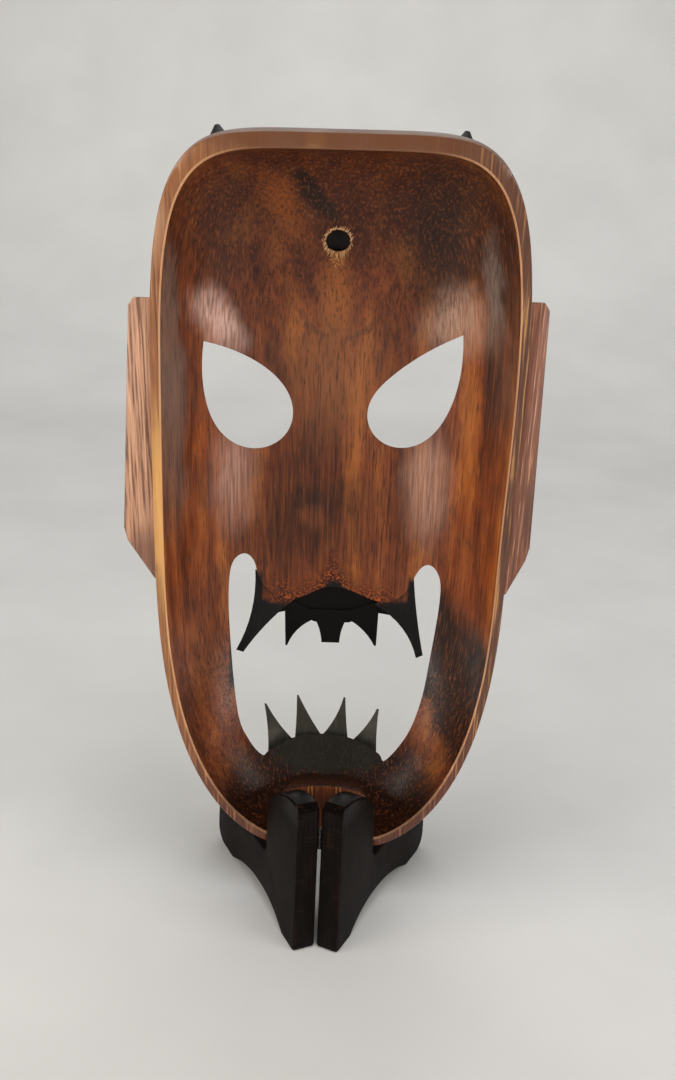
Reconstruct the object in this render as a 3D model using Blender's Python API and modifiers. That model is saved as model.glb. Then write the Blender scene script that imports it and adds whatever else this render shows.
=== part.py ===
"""A carved wooden demon mask, standing on its chin in a small two-leaf folding stand.

Metres, +Z up. The mask's carved face looks along -Y and its hollow back along +Y. The origin is on the ground,
in the middle of the whole object's base.

The mask is made in a frame of its own: x across, z up the mask from the lowest point of its chin, and y = 0 on
the flat back of its rim, with the carved front towards -y. An empty carries that frame, so that the mask can
lean back in the stand.
"""
import math

import bmesh
import bpy
import numpy as np
from mathutils import Matrix, Vector

MM = 0.001

# The mask's outline, seen from behind: an upper and a lower superellipse about its widest height.
MASK_TOP = 0.3155
MASK_HALF_WIDTH = 0.0708
WIDEST_HEIGHT = 0.139
TOP_EXPONENT = 5.7
CROWN_TAPER = 0.015
CROWN_SHIFT = -0.0015
CHIN_REACH = 0.1418
CHIN_EXPONENT = 2.43
CHIN_FLAT = 0.0015
CHIN_FLAT_EASE = 0.001

# The rim's flat back and the shell.
RIM_SIDE = 0.0038
RIM_TOP = 0.0058
RIM_CHIN = 0.0048
RIM_EDGE_DEPTH = 0.007
HOLLOW_DEPTH = 0.048
CHIN_HOLLOW_DEPTH = 0.031
CHIN_HOLLOW_TOP = 0.095
CHIN_HOLLOW_BOTTOM = 0.045
WALL = 0.0085
ACROSS = 30
UP = 48

# Openings are drawn on the rim's plane and widen towards the front, away from this point behind the mask.
FLARE_POINT = (-0.0065, 0.4219, 0.3841)
CUT_BEHIND = 0.004
FLARE_END = 0.064
CUT_ON = 0.045

# Eyes: centre and radius of the round end, the point, and how fast the point fades on its nose and outer sides.
EYES = (
    (0.0299, 0.2131, 0.0140, 0.0482, 0.2410, math.radians(34), math.radians(30)),
    (-0.0253, 0.2136, 0.0125, -0.0464, 0.2460, math.radians(25), math.radians(31)),
)

# The mouth's opening without its teeth, on the rim's plane, in millimetres.
MOUTH = (
    (41.2, 118), (41.0, 140), (39.0, 150), (34.0, 153.5), (30.0, 149), (28.0, 139), (15.0, 131), (-1.2, 141),
    (-20.6, 131), (-31.0, 137), (-34.5, 146), (-38.4, 150.5), (-42.5, 148), (-45.3, 138), (-42.5, 106),
    (-40.0, 84.5), (-34.9, 65.8), (-26.0, 51.5), (-22.5, 55.5), (-11.0, 62.8), (1.5, 65), (13.5, 62.8), (24.5, 55.5),
    (28.0, 52.5), (34.0, 61), (38.5, 76),
)

# Teeth on the same plane, in millimetres: root left, tip left, tip right, root right, and how far each side bows.
UPPER_TEETH = {
    "outer_left": ((30.2, 146), (38.6, 107), (35.6, 106), (14.3, 132.5), 2.5, 1.2),
    "inner_left": ((18.3, 133.5), (18.0, 110), (17.3, 110), (2.0, 125), 0.0, 2.7),
    "middle": ((8.5, 128), (3.0, 112), (-4.4, 112), (-9.5, 128), 1.2, 1.2),
    "inner_right": ((-3.0, 126), (-18.9, 111), (-19.7, 111), (-20.3, 133), 2.2, 0.0),
    "outer_right": ((-18.5, 131), (-36.6, 105.5), (-39.4, 107), (-33.6, 146), 3.2, 0.6),
}
LOWER_TEETH = {
    "outer_left": ((25.6, 50), (26.9, 80), (26.0, 80), (11.5, 58), -0.8, -1.2),
    "inner_left": ((14.4, 54), (13.0, 85), (12.3, 85), (1.0, 62), -0.4, -0.5),
    "inner_right": ((3.6, 62), (-6.9, 84.5), (-7.7, 84.5), (-10.3, 54), -1.5, -0.4),
    "outer_right": ((-7.5, 58), (-21.3, 79), (-22.2, 79), (-22.3, 50), -1.5, -0.6),
}
UPPER_GUM = ((29, 144), (12, 137), (-1, 146), (-18, 137), (-32, 144), (-26, 126), (-20, 127), (-8, 122), (6, 122),
             (17, 127), (24, 125))
FANG_BACK = 0.046
TOOTH_BACK = 0.050
UPPER_TOOTH_FRONT = 0.061
LOWER_TOOTH_BACK = 0.031
LOWER_TOOTH_FRONT = 0.041

# The solid block left behind the chin, flush with the rim.
CHIN_BLOCK_HALF_WIDTH = 0.0205
CHIN_BLOCK_HEIGHT = 0.0362
CHIN_BLOCK_SHOULDER = 0.027
CHIN_BLOCK_FOOT = 0.0032
CHIN_BLOCK_SET_BACK = 0.00005
CHIN_BLOCK_OFFSET = 0.0007
CHIN_BLOCK_DEPTH = 0.027
CHIN_BLOCK_TOP_FALL = 0.0155
CHIN_BLOCK_FOOT_RISE = 0.0072

# Ears: for each side the height of the top, how far out it starts and reaches there, how far out the lower corner is
# and how high, the height of the bottom, and how far forward the back sits from the rim's plane.
EAR_ROOT_BOTTOM = 0.0695
EAR_ROOT_LEAN = 0.0045
EAR_DEPTH = 0.026
EAR_TIP_DEPTH = 0.013
EAR_DROOP = 0.50
EARS = (
    ("left", 1, 0.2565, 0.0660, 0.0757, 0.0826, 0.1565, 0.1390, 0.0018),
    ("right", -1, 0.2590, 0.0688, 0.0770, 0.0791, 0.1530, 0.1370, 0.0006),
)

HORN_BASE = (0.0435, -0.0370, 0.2920)
HORN_TIP = (0.0466, -0.0455, 0.3096)
HORN_RADIUS = 0.0140
HORN_TIP_RADIUS = 0.0010

HANGING_HOLE_CENTRE = (-0.0002, 0.2788)
HANGING_HOLE_RADIUS = 0.0046
HANGING_HOLE_DEPTH = 0.0060

# The folding stand: the profile of a leaf, along its length from the hinge and up from the ground.
BOARD = 0.010
HALF_OPENING = math.radians(26)
LEAF_LENGTH = 0.096
UPRIGHT_HEIGHT = 0.073
UPRIGHT_DEPTH = 0.034
UPRIGHT_FRONT_HEIGHT = 0.046
SEAT_HEIGHT = 0.0295
HOOK_HEIGHT = 0.050
HOOK_DEPTH = 0.012
ARCH_HEIGHT = 0.009
REAR_PAD = 0.014
TOE_PAD_START = 0.076
TOE_ROUND = 0.008
HEEL_ROUND = 0.0018
EDGE_BEVEL = 0.0009

# The butt hinge in the seam: its axis lies a little in front of the boards' rear edges, between their faces.
AXIS_INSET = 0.0022
AXIS_TO_FACE = 0.00152
HINGE_HEIGHT = 0.010
HINGE_CENTRE_HEIGHT = 0.0545
HINGE_LEAF_LENGTH = 0.0105
HINGE_LEAF_INNER = 0.00065
HINGE_LEAF_OUTER = 0.00122
KNUCKLE_RADIUS = 0.0011
KNUCKLE_BORE = 0.00065
HINGE_PIN_RADIUS = 0.00035
MIDDLE_KNUCKLE = 0.0032
KNUCKLE_GAP = 0.0003

# How the mask stands in the stand.
LEAN = math.radians(8)
ROLL = math.radians(1)
MASK_OFFSET = -0.0020
SEAT_CLEARANCE = 0.0003
BACK_CLEARANCE = 0.0004
REST_HEIGHT = 0.049

OVERLAP = 0.002


def remove_everything():
    for item in list(bpy.data.objects):
        bpy.data.objects.remove(item)


def collection(name):
    made = bpy.data.collections.new(name)
    bpy.context.scene.collection.children.link(made)
    return made


def material(name, colour, roughness, metallic=0.0):
    made = bpy.data.materials.new(name)
    made.use_nodes = True
    shader = made.node_tree.nodes["Principled BSDF"]
    shader.inputs["Base Color"].default_value = (*colour, 1.0)
    shader.inputs["Roughness"].default_value = roughness
    shader.inputs["Metallic"].default_value = metallic
    return made


def mesh_object(name, bm, place, finish=None):
    bmesh.ops.recalc_face_normals(bm, faces=bm.faces)
    if bm.calc_volume(signed=True) < 0:
        bmesh.ops.reverse_faces(bm, faces=bm.faces)
    mesh = bpy.data.meshes.new(name)
    bm.to_mesh(mesh)
    bm.free()
    made = bpy.data.objects.new(name, mesh)
    place.objects.link(made)
    if finish:
        mesh.materials.append(finish)
    return made


def smoothstep(low, high, value):
    share = np.clip((value - low) / (high - low), 0.0, 1.0)
    return share * share * (3 - 2 * share)


# The mask's shell

def unit_outline_scale(across, up):
    """How far the superellipse reaches past the unit circle in the direction of (across, up)."""
    angle = np.arctan2(up, across)
    exponent = np.where(up > 0, TOP_EXPONENT, CHIN_EXPONENT)
    return (np.abs(np.cos(angle)) ** exponent + np.abs(np.sin(angle)) ** exponent) ** (-1 / exponent)


def on_mask(across, up, inset=0.0):
    """Places disc points on the mask's face; inset 1 puts the disc's edge on the rim's inner edge."""
    scale = unit_outline_scale(across, up)
    half_width = MASK_HALF_WIDTH - RIM_SIDE * inset
    upper = MASK_TOP - WIDEST_HEIGHT - RIM_TOP * inset
    lower = CHIN_REACH - RIM_CHIN * inset
    above_flat = WIDEST_HEIGHT + np.where(up > 0, upper, lower) * up * scale - CHIN_FLAT - RIM_CHIN * inset
    eased = (above_flat + np.hypot(above_flat, CHIN_FLAT_EASE)) / 2
    share = np.clip(up * scale, 0, 1)
    x = half_width * across * scale * (1 - CROWN_TAPER * share) + CROWN_SHIFT * smoothstep(0, 0.6, share)
    return x, CHIN_FLAT + RIM_CHIN * inset + eased


def square_to_disc(a, b):
    return a * np.sqrt(1 - b * b / 2), b * np.sqrt(1 - a * a / 2)


def hollow_depth(across, up, height):
    """Depth of the hollow behind the rim's plane: a trough with steep walls, shallower behind the chin."""
    radius = np.clip(np.hypot(across, up), 0, 1)
    steepness = 3.6 + 4.4 * smoothstep(-0.3, -0.9, up) - 0.8 * smoothstep(0.4, 0.95, up)
    floor = CHIN_HOLLOW_DEPTH + (HOLLOW_DEPTH - CHIN_HOLLOW_DEPTH) * smoothstep(
        CHIN_HOLLOW_BOTTOM, CHIN_HOLLOW_TOP, height)
    return floor * (1 - radius ** steepness) ** 0.6


def bump(x, z, centre, size, height):
    return height * np.exp(-((x - centre[0]) / size[0]) ** 2 - ((z - centre[1]) / size[1]) ** 2)


def ridge(x, z, start, end, radius, height):
    """A round ridge along the line between two points; each end may have a radius and a height of its own."""
    (x0, z0), (x1, z1) = start, end
    share = np.clip(((x - x0) * (x1 - x0) + (z - z0) * (z1 - z0)) / ((x1 - x0) ** 2 + (z1 - z0) ** 2), 0, 1)
    distance = np.hypot(x - x0 - share * (x1 - x0), z - z0 - share * (z1 - z0))
    size = radius[0] + share * (radius[1] - radius[0])
    return (height[0] + share * (height[1] - height[0])) * np.exp(-(distance / size) ** 2)


def face_relief(x, z):
    """What the carved front stands proud of a plain shell: brows, nose, cheeks, lips and chin."""
    side = np.abs(x)
    relief = ridge(x, z, (0, 0.210), (0, 0.160), (0.010, 0.014), (0.007, 0.019))
    relief += bump(x, z, (0, 0.151), (0.015, 0.011), 0.011)
    relief += bump(side, z, (0.021, 0.148), (0.010, 0.009), 0.010)
    relief += ridge(side, z, (0.010, 0.215), (0.032, 0.239), (0.010, 0.011), (0.007, 0.010))
    relief += ridge(side, z, (0.034, 0.240), (0.058, 0.247), (0.010, 0.008), (0.007, 0.004))
    relief += bump(side, z, (0.047, 0.165), (0.014, 0.017), 0.008)
    relief += ridge(side, z, (0.000, 0.122), (0.030, 0.132), (0.008, 0.008), (0.007, 0.006))
    relief += ridge(side, z, (0.032, 0.132), (0.054, 0.108), (0.008, 0.008), (0.006, 0.005))
    relief += ridge(side, z, (0.0, 0.014), (0.026, 0.026), (0.010, 0.010), (0.009, 0.006))
    relief += ridge(side, z, (0.0, 0.263), (0.036, 0.271), (0.008, 0.007), (0.003, 0.002))
    return relief


def shell():
    """The mask's shell as one closed mesh: a hollow grid, a rim ring, and a carved front grid."""
    bm = bmesh.new()
    bmesh.ops.create_grid(bm, x_segments=ACROSS, y_segments=UP, size=1.0)
    params = {v: (v.co.x, v.co.y) for v in bm.verts}

    def points(pairs, inset, depth_of):
        a, b = np.array(pairs).T
        across, up = square_to_disc(a, b)
        x, z = on_mask(across, up, inset)
        return x, depth_of(across, up, x, z), z

    def place(verts, pairs, inset, depth_of):
        for vert, x, depth, z in zip(verts, *points(pairs, inset, depth_of)):
            vert.co = (x, -depth, z)

    def back_depth(across, up, x, z):
        return hollow_depth(across, up, z)

    def front_depth(across, up, x, z):
        fade = 1 - np.clip(np.hypot(across, up), 0, 1) ** 6
        wall = RIM_EDGE_DEPTH + (WALL - RIM_EDGE_DEPTH) * fade
        return hollow_depth(across, up, z) + wall + face_relief(x, z) * fade

    back = list(bm.verts)
    loop_edges = [e for e in bm.edges if e.is_boundary]

    def grow(edges, inset, depth):
        """Extrudes the open edge outwards to a ring on the outline."""
        grown = bmesh.ops.extrude_edge_only(bm, edges=edges)["geom"]
        verts = [g for g in grown if isinstance(g, bmesh.types.BMVert)]
        for vert in verts:
            near = min((e.other_vert(vert) for e in vert.link_edges if e.other_vert(vert) in params
                        and (e.other_vert(vert).co - vert.co).length < 1e-9), key=id)
            params[vert] = params[near]
        ring = [g for g in grown if isinstance(g, bmesh.types.BMEdge)]
        return verts, ring, inset, depth

    rim = grow(loop_edges, 0.0, 0.0)
    side = grow(rim[1], 0.0, RIM_EDGE_DEPTH)
    front_start = len(bm.verts)
    bmesh.ops.create_grid(bm, x_segments=ACROSS, y_segments=UP, size=1.0)
    bm.verts.ensure_lookup_table()
    front = bm.verts[front_start:]
    front_pairs = [(v.co.x, v.co.y) for v in front]

    place(back, [params[v] for v in back], 1.0, back_depth)
    for verts, _, inset, depth in (rim, side):
        place(verts, [params[v] for v in verts], inset, lambda a, u, x, z, d=depth: np.full_like(x, d))
    place(front, front_pairs, 0.0, front_depth)
    bmesh.ops.remove_doubles(bm, verts=bm.verts, dist=1e-5)
    bmesh.ops.triangulate(bm, faces=bm.faces, quad_method="SHORT_EDGE")
    return bm


# Openings, teeth and the other parts of the mask

def catmull_rom(points, steps, closed=True):
    """Points along a smooth curve through the given ones."""
    points = [Vector((p[0], p[1])) for p in points]
    count = len(points)
    made = []
    for i in range(count if closed else count - 1):
        before = points[(i - 1) % count] if closed or i else points[0]
        after = points[(i + 2) % count] if closed or i + 2 < count else points[-1]
        here, there = points[i], points[(i + 1) % count]
        for step in range(steps):
            t = step / steps
            made.append(0.5 * (2 * here + (there - before) * t
                               + (2 * before - 5 * here + 4 * there - after) * t * t
                               + (3 * here - before - 3 * there + after) * t ** 3))
    if not closed:
        made.append(points[-1])
    return [(p.x, p.y) for p in made]


def eye_outline(x, z, radius, point_x, point_z, nose_fade, outer_fade, count=28):
    """A teardrop: a circle drawn out to a point, more suddenly on its outer side."""
    reach = math.hypot(point_x - x, point_z - z) / radius - 1
    towards = math.atan2(point_z - z, abs(point_x - x))
    hand = math.copysign(1, point_x - x)
    made = []
    for i in range(count):
        turn = 2 * math.pi * i / count
        away = (turn + math.pi) % (2 * math.pi) - math.pi
        fade = nose_fade if away > 0 else outer_fade
        size = radius * (1 + reach * math.exp(-abs(away) / fade))
        made.append((x + hand * size * math.cos(towards + away), z + size * math.sin(towards + away)))
    return made


def bowed_side(start, end, bow, steps=4):
    """Points from start to just before end, along a curve that bows to its right."""
    (x0, z0), (x1, z1) = start, end
    length = max(math.hypot(x1 - x0, z1 - z0), 1e-9)
    nx, nz = (z1 - z0) / length, -(x1 - x0) / length
    shares = [i / steps for i in range(steps)]
    return [(x0 + (x1 - x0) * s + nx * bow * 4 * s * (1 - s), z0 + (z1 - z0) * s + nz * bow * 4 * s * (1 - s))
            for s in shares]


def tooth_outline(root_left, tip_left, tip_right, root_right, bow_left, bow_right):
    return (bowed_side(root_left, tip_left, bow_left) + [tip_left] + bowed_side(tip_right, root_right, bow_right)
            + [root_right])


def flat_outline(name, outline, place):
    """A flat closed outline in x and y as a solid one unit thick on either side, made a mesh."""
    curve = bpy.data.curves.new(name, "CURVE")
    curve.dimensions = "2D"
    curve.fill_mode = "BOTH"
    curve.extrude = 1.0
    spline = curve.splines.new("POLY")
    spline.points.add(len(outline) - 1)
    for point, (x, y) in zip(spline.points, outline):
        point.co = (x, y, 0, 1)
    spline.use_cyclic_u = True
    guide = bpy.data.objects.new(name + "_curve", curve)
    place.objects.link(guide)
    evaluated = guide.evaluated_get(bpy.context.evaluated_depsgraph_get())
    bm = bmesh.new()
    mesh = bpy.data.meshes.new_from_object(evaluated)
    bm.from_mesh(mesh)
    bpy.data.objects.remove(guide)
    bpy.data.meshes.remove(mesh)
    bmesh.ops.remove_doubles(bm, verts=bm.verts, dist=1e-6)
    return bm


def flared_prism(name, outline, back_depth, front_depth, place, scale=1.0, straight=0.0):
    """A prism between two depths behind the rim's plane, widening away from the flare point.

    A straight length carries its front end on without widening."""
    bm = flat_outline(name, [(x * scale, z * scale) for x, z in outline], place)
    front_faces = [f for f in bm.faces if all(v.co.z < 0 for v in f.verts)]
    for vert in bm.verts:
        depth = front_depth if vert.co.z < 0 else back_depth
        widen = 1 + depth / FLARE_POINT[1]
        vert.co = (FLARE_POINT[0] + (vert.co.x - FLARE_POINT[0]) * widen, -depth,
                   FLARE_POINT[2] + (vert.co.y - FLARE_POINT[2]) * widen)
    if straight:
        grown = bmesh.ops.extrude_face_region(bm, geom=front_faces)["geom"]
        bmesh.ops.translate(bm, vec=(0, -straight, 0), verts=[g for g in grown if isinstance(g, bmesh.types.BMVert)])
        bmesh.ops.delete(bm, geom=front_faces, context="FACES_ONLY")
    return mesh_object(name, bm, place)


def chin_block(place):
    """The block behind the chin: flat back with an arched top, running forward into the chin's wall."""
    arch = catmull_rom([(CHIN_BLOCK_HALF_WIDTH, CHIN_BLOCK_SHOULDER), (0, CHIN_BLOCK_HEIGHT),
                        (-CHIN_BLOCK_HALF_WIDTH, CHIN_BLOCK_SHOULDER)], 6, closed=False)
    outline = [(-CHIN_BLOCK_HALF_WIDTH, CHIN_BLOCK_FOOT), (CHIN_BLOCK_HALF_WIDTH, CHIN_BLOCK_FOOT)]
    bm = flat_outline("chin_block", outline + arch, place)
    for vert in bm.verts:
        x, z = vert.co.x, vert.co.y
        if vert.co.z > 0:
            vert.co = (x, -CHIN_BLOCK_SET_BACK, z)
        elif z < CHIN_BLOCK_SHOULDER - OVERLAP:
            vert.co = (x * 0.77, -CHIN_BLOCK_DEPTH, z + CHIN_BLOCK_FOOT_RISE)
        else:
            vert.co = (x * 0.77, -CHIN_BLOCK_DEPTH, z - CHIN_BLOCK_TOP_FALL + 0.004 * abs(x) / CHIN_BLOCK_HALF_WIDTH)
    bmesh.ops.translate(bm, vec=(CHIN_BLOCK_OFFSET, 0, 0), verts=bm.verts)
    return mesh_object("chin_block", bm, place)


def ear(name, side, top, root_top, top_reach, corner_reach, corner, bottom, set_back, place):
    """One ear: a flat-backed flange down the side of the mask, thinner at its edge and drooping to the front."""
    outline = [(root_top, top), (top_reach - 0.002, top), (top_reach, top - 0.003), (corner_reach, corner + 0.006),
               (corner_reach - 0.0012, corner), (MASK_HALF_WIDTH + 0.0006, bottom), (EAR_ROOT_BOTTOM, bottom)]
    bm = flat_outline("ear_" + name, outline, place)
    for vert in bm.verts:
        x, z = vert.co.x, vert.co.y
        if vert.co.z < 0:
            share = max(x - EAR_ROOT_BOTTOM, 0) / (corner_reach - EAR_ROOT_BOTTOM)
            depth = EAR_DEPTH + (EAR_TIP_DEPTH - EAR_DEPTH) * share
            vert.co = (side * (x - EAR_ROOT_LEAN * (1 - share)), -depth, z - EAR_DROOP * depth)
        else:
            vert.co = (side * x, -set_back, z)
    return mesh_object("ear_" + name, bm, place)


def horn(side, place):
    base = Vector((side * HORN_BASE[0], HORN_BASE[1], HORN_BASE[2]))
    tip = Vector((side * HORN_TIP[0], HORN_TIP[1], HORN_TIP[2]))
    bm = bmesh.new()
    bmesh.ops.create_cone(bm, cap_ends=True, segments=14, radius1=HORN_RADIUS, radius2=HORN_TIP_RADIUS,
                          depth=(tip - base).length)
    turn = (tip - base).to_track_quat("Z", "Y").to_matrix().to_4x4()
    bmesh.ops.transform(bm, matrix=Matrix.Translation((base + tip) / 2) @ turn, verts=bm.verts)
    return mesh_object("horn", bm, place)


def hanging_hole(place):
    x, z = HANGING_HOLE_CENTRE
    across = x / MASK_HALF_WIDTH
    up = (z - WIDEST_HEIGHT) / (MASK_TOP - WIDEST_HEIGHT)
    depth = float(hollow_depth(across, up, z))
    widen = 1 + depth / FLARE_POINT[1]
    centre = Vector((FLARE_POINT[0] + (x - FLARE_POINT[0]) * widen, -depth,
                     FLARE_POINT[2] + (z - FLARE_POINT[2]) * widen))
    bm = bmesh.new()
    bmesh.ops.create_cone(bm, cap_ends=True, segments=20, radius1=HANGING_HOLE_RADIUS, radius2=HANGING_HOLE_RADIUS,
                          depth=2 * HANGING_HOLE_DEPTH)
    turn = Matrix.Rotation(math.radians(90), 4, "X")
    bmesh.ops.transform(bm, matrix=Matrix.Translation(centre) @ turn, verts=bm.verts)
    return mesh_object("hanging_hole", bm, place)


def combine(target, tool, operation, solver="EXACT"):
    """Joins or cuts the target with the tool, and keeps the tool as a hidden guide."""
    modifier = target.modifiers.new(tool.name, "BOOLEAN")
    modifier.operation = operation
    modifier.object = tool
    modifier.solver = solver
    tool.hide_render = True
    tool.display_type = "WIRE"


def make_mask(place, tools, finish):
    mask = mesh_object("mask", shell(), place, finish)
    combine(mask, flared_prism("mouth_opening", catmull_rom(MOUTH, 3), -CUT_BEHIND, FLARE_END, tools, MM, CUT_ON),
            "DIFFERENCE")
    for number, eye in enumerate(EYES):
        combine(mask, flared_prism(f"eye_opening_{number}", eye_outline(*eye), -CUT_BEHIND, FLARE_END, tools,
                                   straight=CUT_ON), "DIFFERENCE")
    combine(mask, hanging_hole(tools), "DIFFERENCE")
    # The exact solver leaves doubled edges where the gums, teeth and ears meet the carved shell at a glancing angle.
    combine(mask, flared_prism("upper_gum", UPPER_GUM, TOOTH_BACK, UPPER_TOOTH_FRONT, tools, MM), "UNION", "MANIFOLD")
    for name, tooth in UPPER_TEETH.items():
        back = FANG_BACK if name.startswith("outer") else TOOTH_BACK - 0.0006
        front = UPPER_TOOTH_FRONT + (0.0008 if name.startswith("outer") else 0.0016)
        combine(mask, flared_prism("upper_" + name, tooth_outline(*tooth), back, front, tools, MM), "UNION", "MANIFOLD")
    combine(mask, chin_block(tools), "UNION", "MANIFOLD")
    for name, tooth in LOWER_TEETH.items():
        step = 0.0004 * (1 + list(LOWER_TEETH).index(name))
        combine(mask, flared_prism("lower_" + name, tooth_outline(*tooth), LOWER_TOOTH_BACK + step,
                                   LOWER_TOOTH_FRONT + step, tools, MM), "UNION", "MANIFOLD")
    for sizes in EARS:
        combine(mask, ear(*sizes, tools), "UNION", "MANIFOLD")
    for side in (1, -1):
        combine(mask, horn(side, tools), "UNION", "MANIFOLD")
    return mask


# The stand

def arc(centre, radius, start, end, steps):
    angles = [math.radians(start + (end - start) * i / steps) for i in range(steps + 1)]
    return [(centre[0] + radius * math.cos(a), centre[1] + radius * math.sin(a)) for a in angles]


def leaf_outline():
    """A leaf's profile: rear upright, seat, front hook, toe, and the arch under its foot."""
    front_corner = UPRIGHT_HEIGHT - UPRIGHT_FRONT_HEIGHT
    hook_back = LEAF_LENGTH - HOOK_DEPTH
    fillet = 0.004
    points = [(HEEL_ROUND * 0.4, HEEL_ROUND * 0.3), (0, HEEL_ROUND), (0, UPRIGHT_HEIGHT - 0.003),
              (0.003, UPRIGHT_HEIGHT)]
    crown = [(UPRIGHT_DEPTH * math.sin(math.radians(t)) ** 0.9,
              UPRIGHT_FRONT_HEIGHT + front_corner * math.cos(math.radians(t)) ** 0.9) for t in range(15, 91, 15)]
    points += crown
    points += arc((UPRIGHT_DEPTH + fillet, SEAT_HEIGHT + fillet), fillet, 180, 270, 4)
    points += arc((hook_back - 3 * fillet, SEAT_HEIGHT + 3 * fillet), 3 * fillet, 270, 350, 6)
    points += arc((LEAF_LENGTH - HOOK_DEPTH * 0.45, HOOK_HEIGHT - HOOK_DEPTH * 0.3), HOOK_DEPTH * 0.32, 160, 20, 5)
    points += arc((LEAF_LENGTH - TOE_ROUND, TOE_ROUND), TOE_ROUND, 0, -90, 5)
    middle = (REAR_PAD + TOE_PAD_START) / 2
    half = (TOE_PAD_START - REAR_PAD) / 2
    steps = 10
    for i in range(steps + 1):
        share = 1 - 2 * i / steps
        points.append((middle + half * share, ARCH_HEIGHT * (1 - abs(share + 0.12 * (1 - share * share)) ** 2.2)))
    points.append((HEEL_ROUND * 1.5, 0))
    return [p for i, p in enumerate(points) if math.dist(p, points[i - 1]) > 1e-5]


def leaf(name, side, place, finish, axis):
    """One board of the stand, standing out from the hinge to one side of the middle line."""
    bm = flat_outline(name, leaf_outline(), place)
    for vert in bm.verts:
        across = AXIS_TO_FACE + (BOARD if vert.co.z > 0 else 0)
        vert.co = (side * across, AXIS_INSET - vert.co.x, vert.co.y)
    made = mesh_object(name, bm, place, finish)
    made.parent = axis
    bevel = made.modifiers.new("edges", "BEVEL")
    bevel.width = EDGE_BEVEL
    bevel.segments = 1
    bevel.limit_method = "ANGLE"
    bevel.angle_limit = math.radians(60)
    return made


def box(bm, low, high):
    made = bmesh.ops.create_cube(bm, size=1.0)["verts"]
    bmesh.ops.scale(bm, vec=[h - l for l, h in zip(low, high)], verts=made)
    bmesh.ops.translate(bm, vec=[(h + l) / 2 for l, h in zip(low, high)], verts=made)


def upright_cylinder(name, radius, low, high, segments, place):
    bm = bmesh.new()
    bmesh.ops.create_cone(bm, cap_ends=True, segments=segments, radius1=radius, radius2=radius, depth=high - low)
    bmesh.ops.translate(bm, vec=(0, 0, (high + low) / 2), verts=bm.verts)
    return mesh_object(name, bm, place)


def hinge_plate(name, side, knuckles, pinned, place, tools, finish, axis):
    """Half of the butt hinge: a plate inside the board with its knuckles on the axis; one half holds the pin."""
    bottom = HINGE_CENTRE_HEIGHT - HINGE_HEIGHT / 2
    top = HINGE_CENTRE_HEIGHT + HINGE_HEIGHT / 2
    inner, outer = sorted((side * HINGE_LEAF_INNER, side * HINGE_LEAF_OUTER))
    bm = bmesh.new()
    box(bm, (inner, AXIS_INSET - HINGE_LEAF_LENGTH, bottom), (outer, -KNUCKLE_RADIUS - KNUCKLE_GAP, top))
    made = mesh_object(name, bm, place, finish)
    made.parent = axis
    for number, (low, high) in enumerate(knuckles):
        tab = bmesh.new()
        box(tab, (inner, -KNUCKLE_RADIUS - KNUCKLE_GAP - 0.0005, low), (outer, 0, high))
        tab_object = mesh_object(f"{name}_tab_{number}", tab, tools)
        barrel = upright_cylinder(f"{name}_barrel_{number}", KNUCKLE_RADIUS, low, high, 20, tools)
        for tool in (tab_object, barrel):
            tool.parent = axis
            combine(made, tool, "UNION")
    if pinned:
        pin = upright_cylinder(name + "_pin", HINGE_PIN_RADIUS, bottom + 0.0005, top - 0.0005, 16, tools)
        pin.parent = axis
        combine(made, pin, "UNION")
    else:
        bore = upright_cylinder(name + "_bore", KNUCKLE_BORE, bottom, top, 16, tools)
        bore.parent = axis
        combine(made, bore, "DIFFERENCE")
    return made


def hinge_empty(side, place):
    """The hinge's axis, with one leaf's opening angle."""
    empty = bpy.data.objects.new("hinge_left" if side > 0 else "hinge_right", None)
    empty.rotation_euler = (0, 0, side * HALF_OPENING)
    place.objects.link(empty)
    return empty


def mask_frame(place):
    """The mask's own frame: leaning back on the uprights, with its chin's flat on the seats' inner edges."""
    empty = bpy.data.objects.new("mask_frame", None)
    empty.rotation_euler = (-LEAN, 0, 0)
    upright_front = AXIS_TO_FACE * math.sin(HALF_OPENING) - (UPRIGHT_DEPTH - AXIS_INSET) * math.cos(HALF_OPENING)
    height = SEAT_HEIGHT + SEAT_CLEARANCE - CHIN_FLAT * math.cos(LEAN)
    back = upright_front - BACK_CLEARANCE - (REST_HEIGHT - height) * math.tan(LEAN)
    empty.location = (MASK_OFFSET, back, height)
    place.objects.link(empty)
    return empty


def stand_on_origin(place):
    """Moves everything so that the middle of its base is the origin."""
    graph = bpy.context.evaluated_depsgraph_get()
    graph.update()
    corners = []
    for item in place.objects:
        if item.type == "MESH":
            shown = item.evaluated_get(graph)
            corners += [shown.matrix_world @ vert.co for vert in shown.to_mesh().vertices]
            shown.to_mesh_clear()
    middle = [(min(c[axis] for c in corners) + max(c[axis] for c in corners)) / 2 for axis in (0, 1)]
    for item in place.objects:
        if item.type == "EMPTY":
            item.location.x -= middle[0]
            item.location.y -= middle[1]


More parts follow.
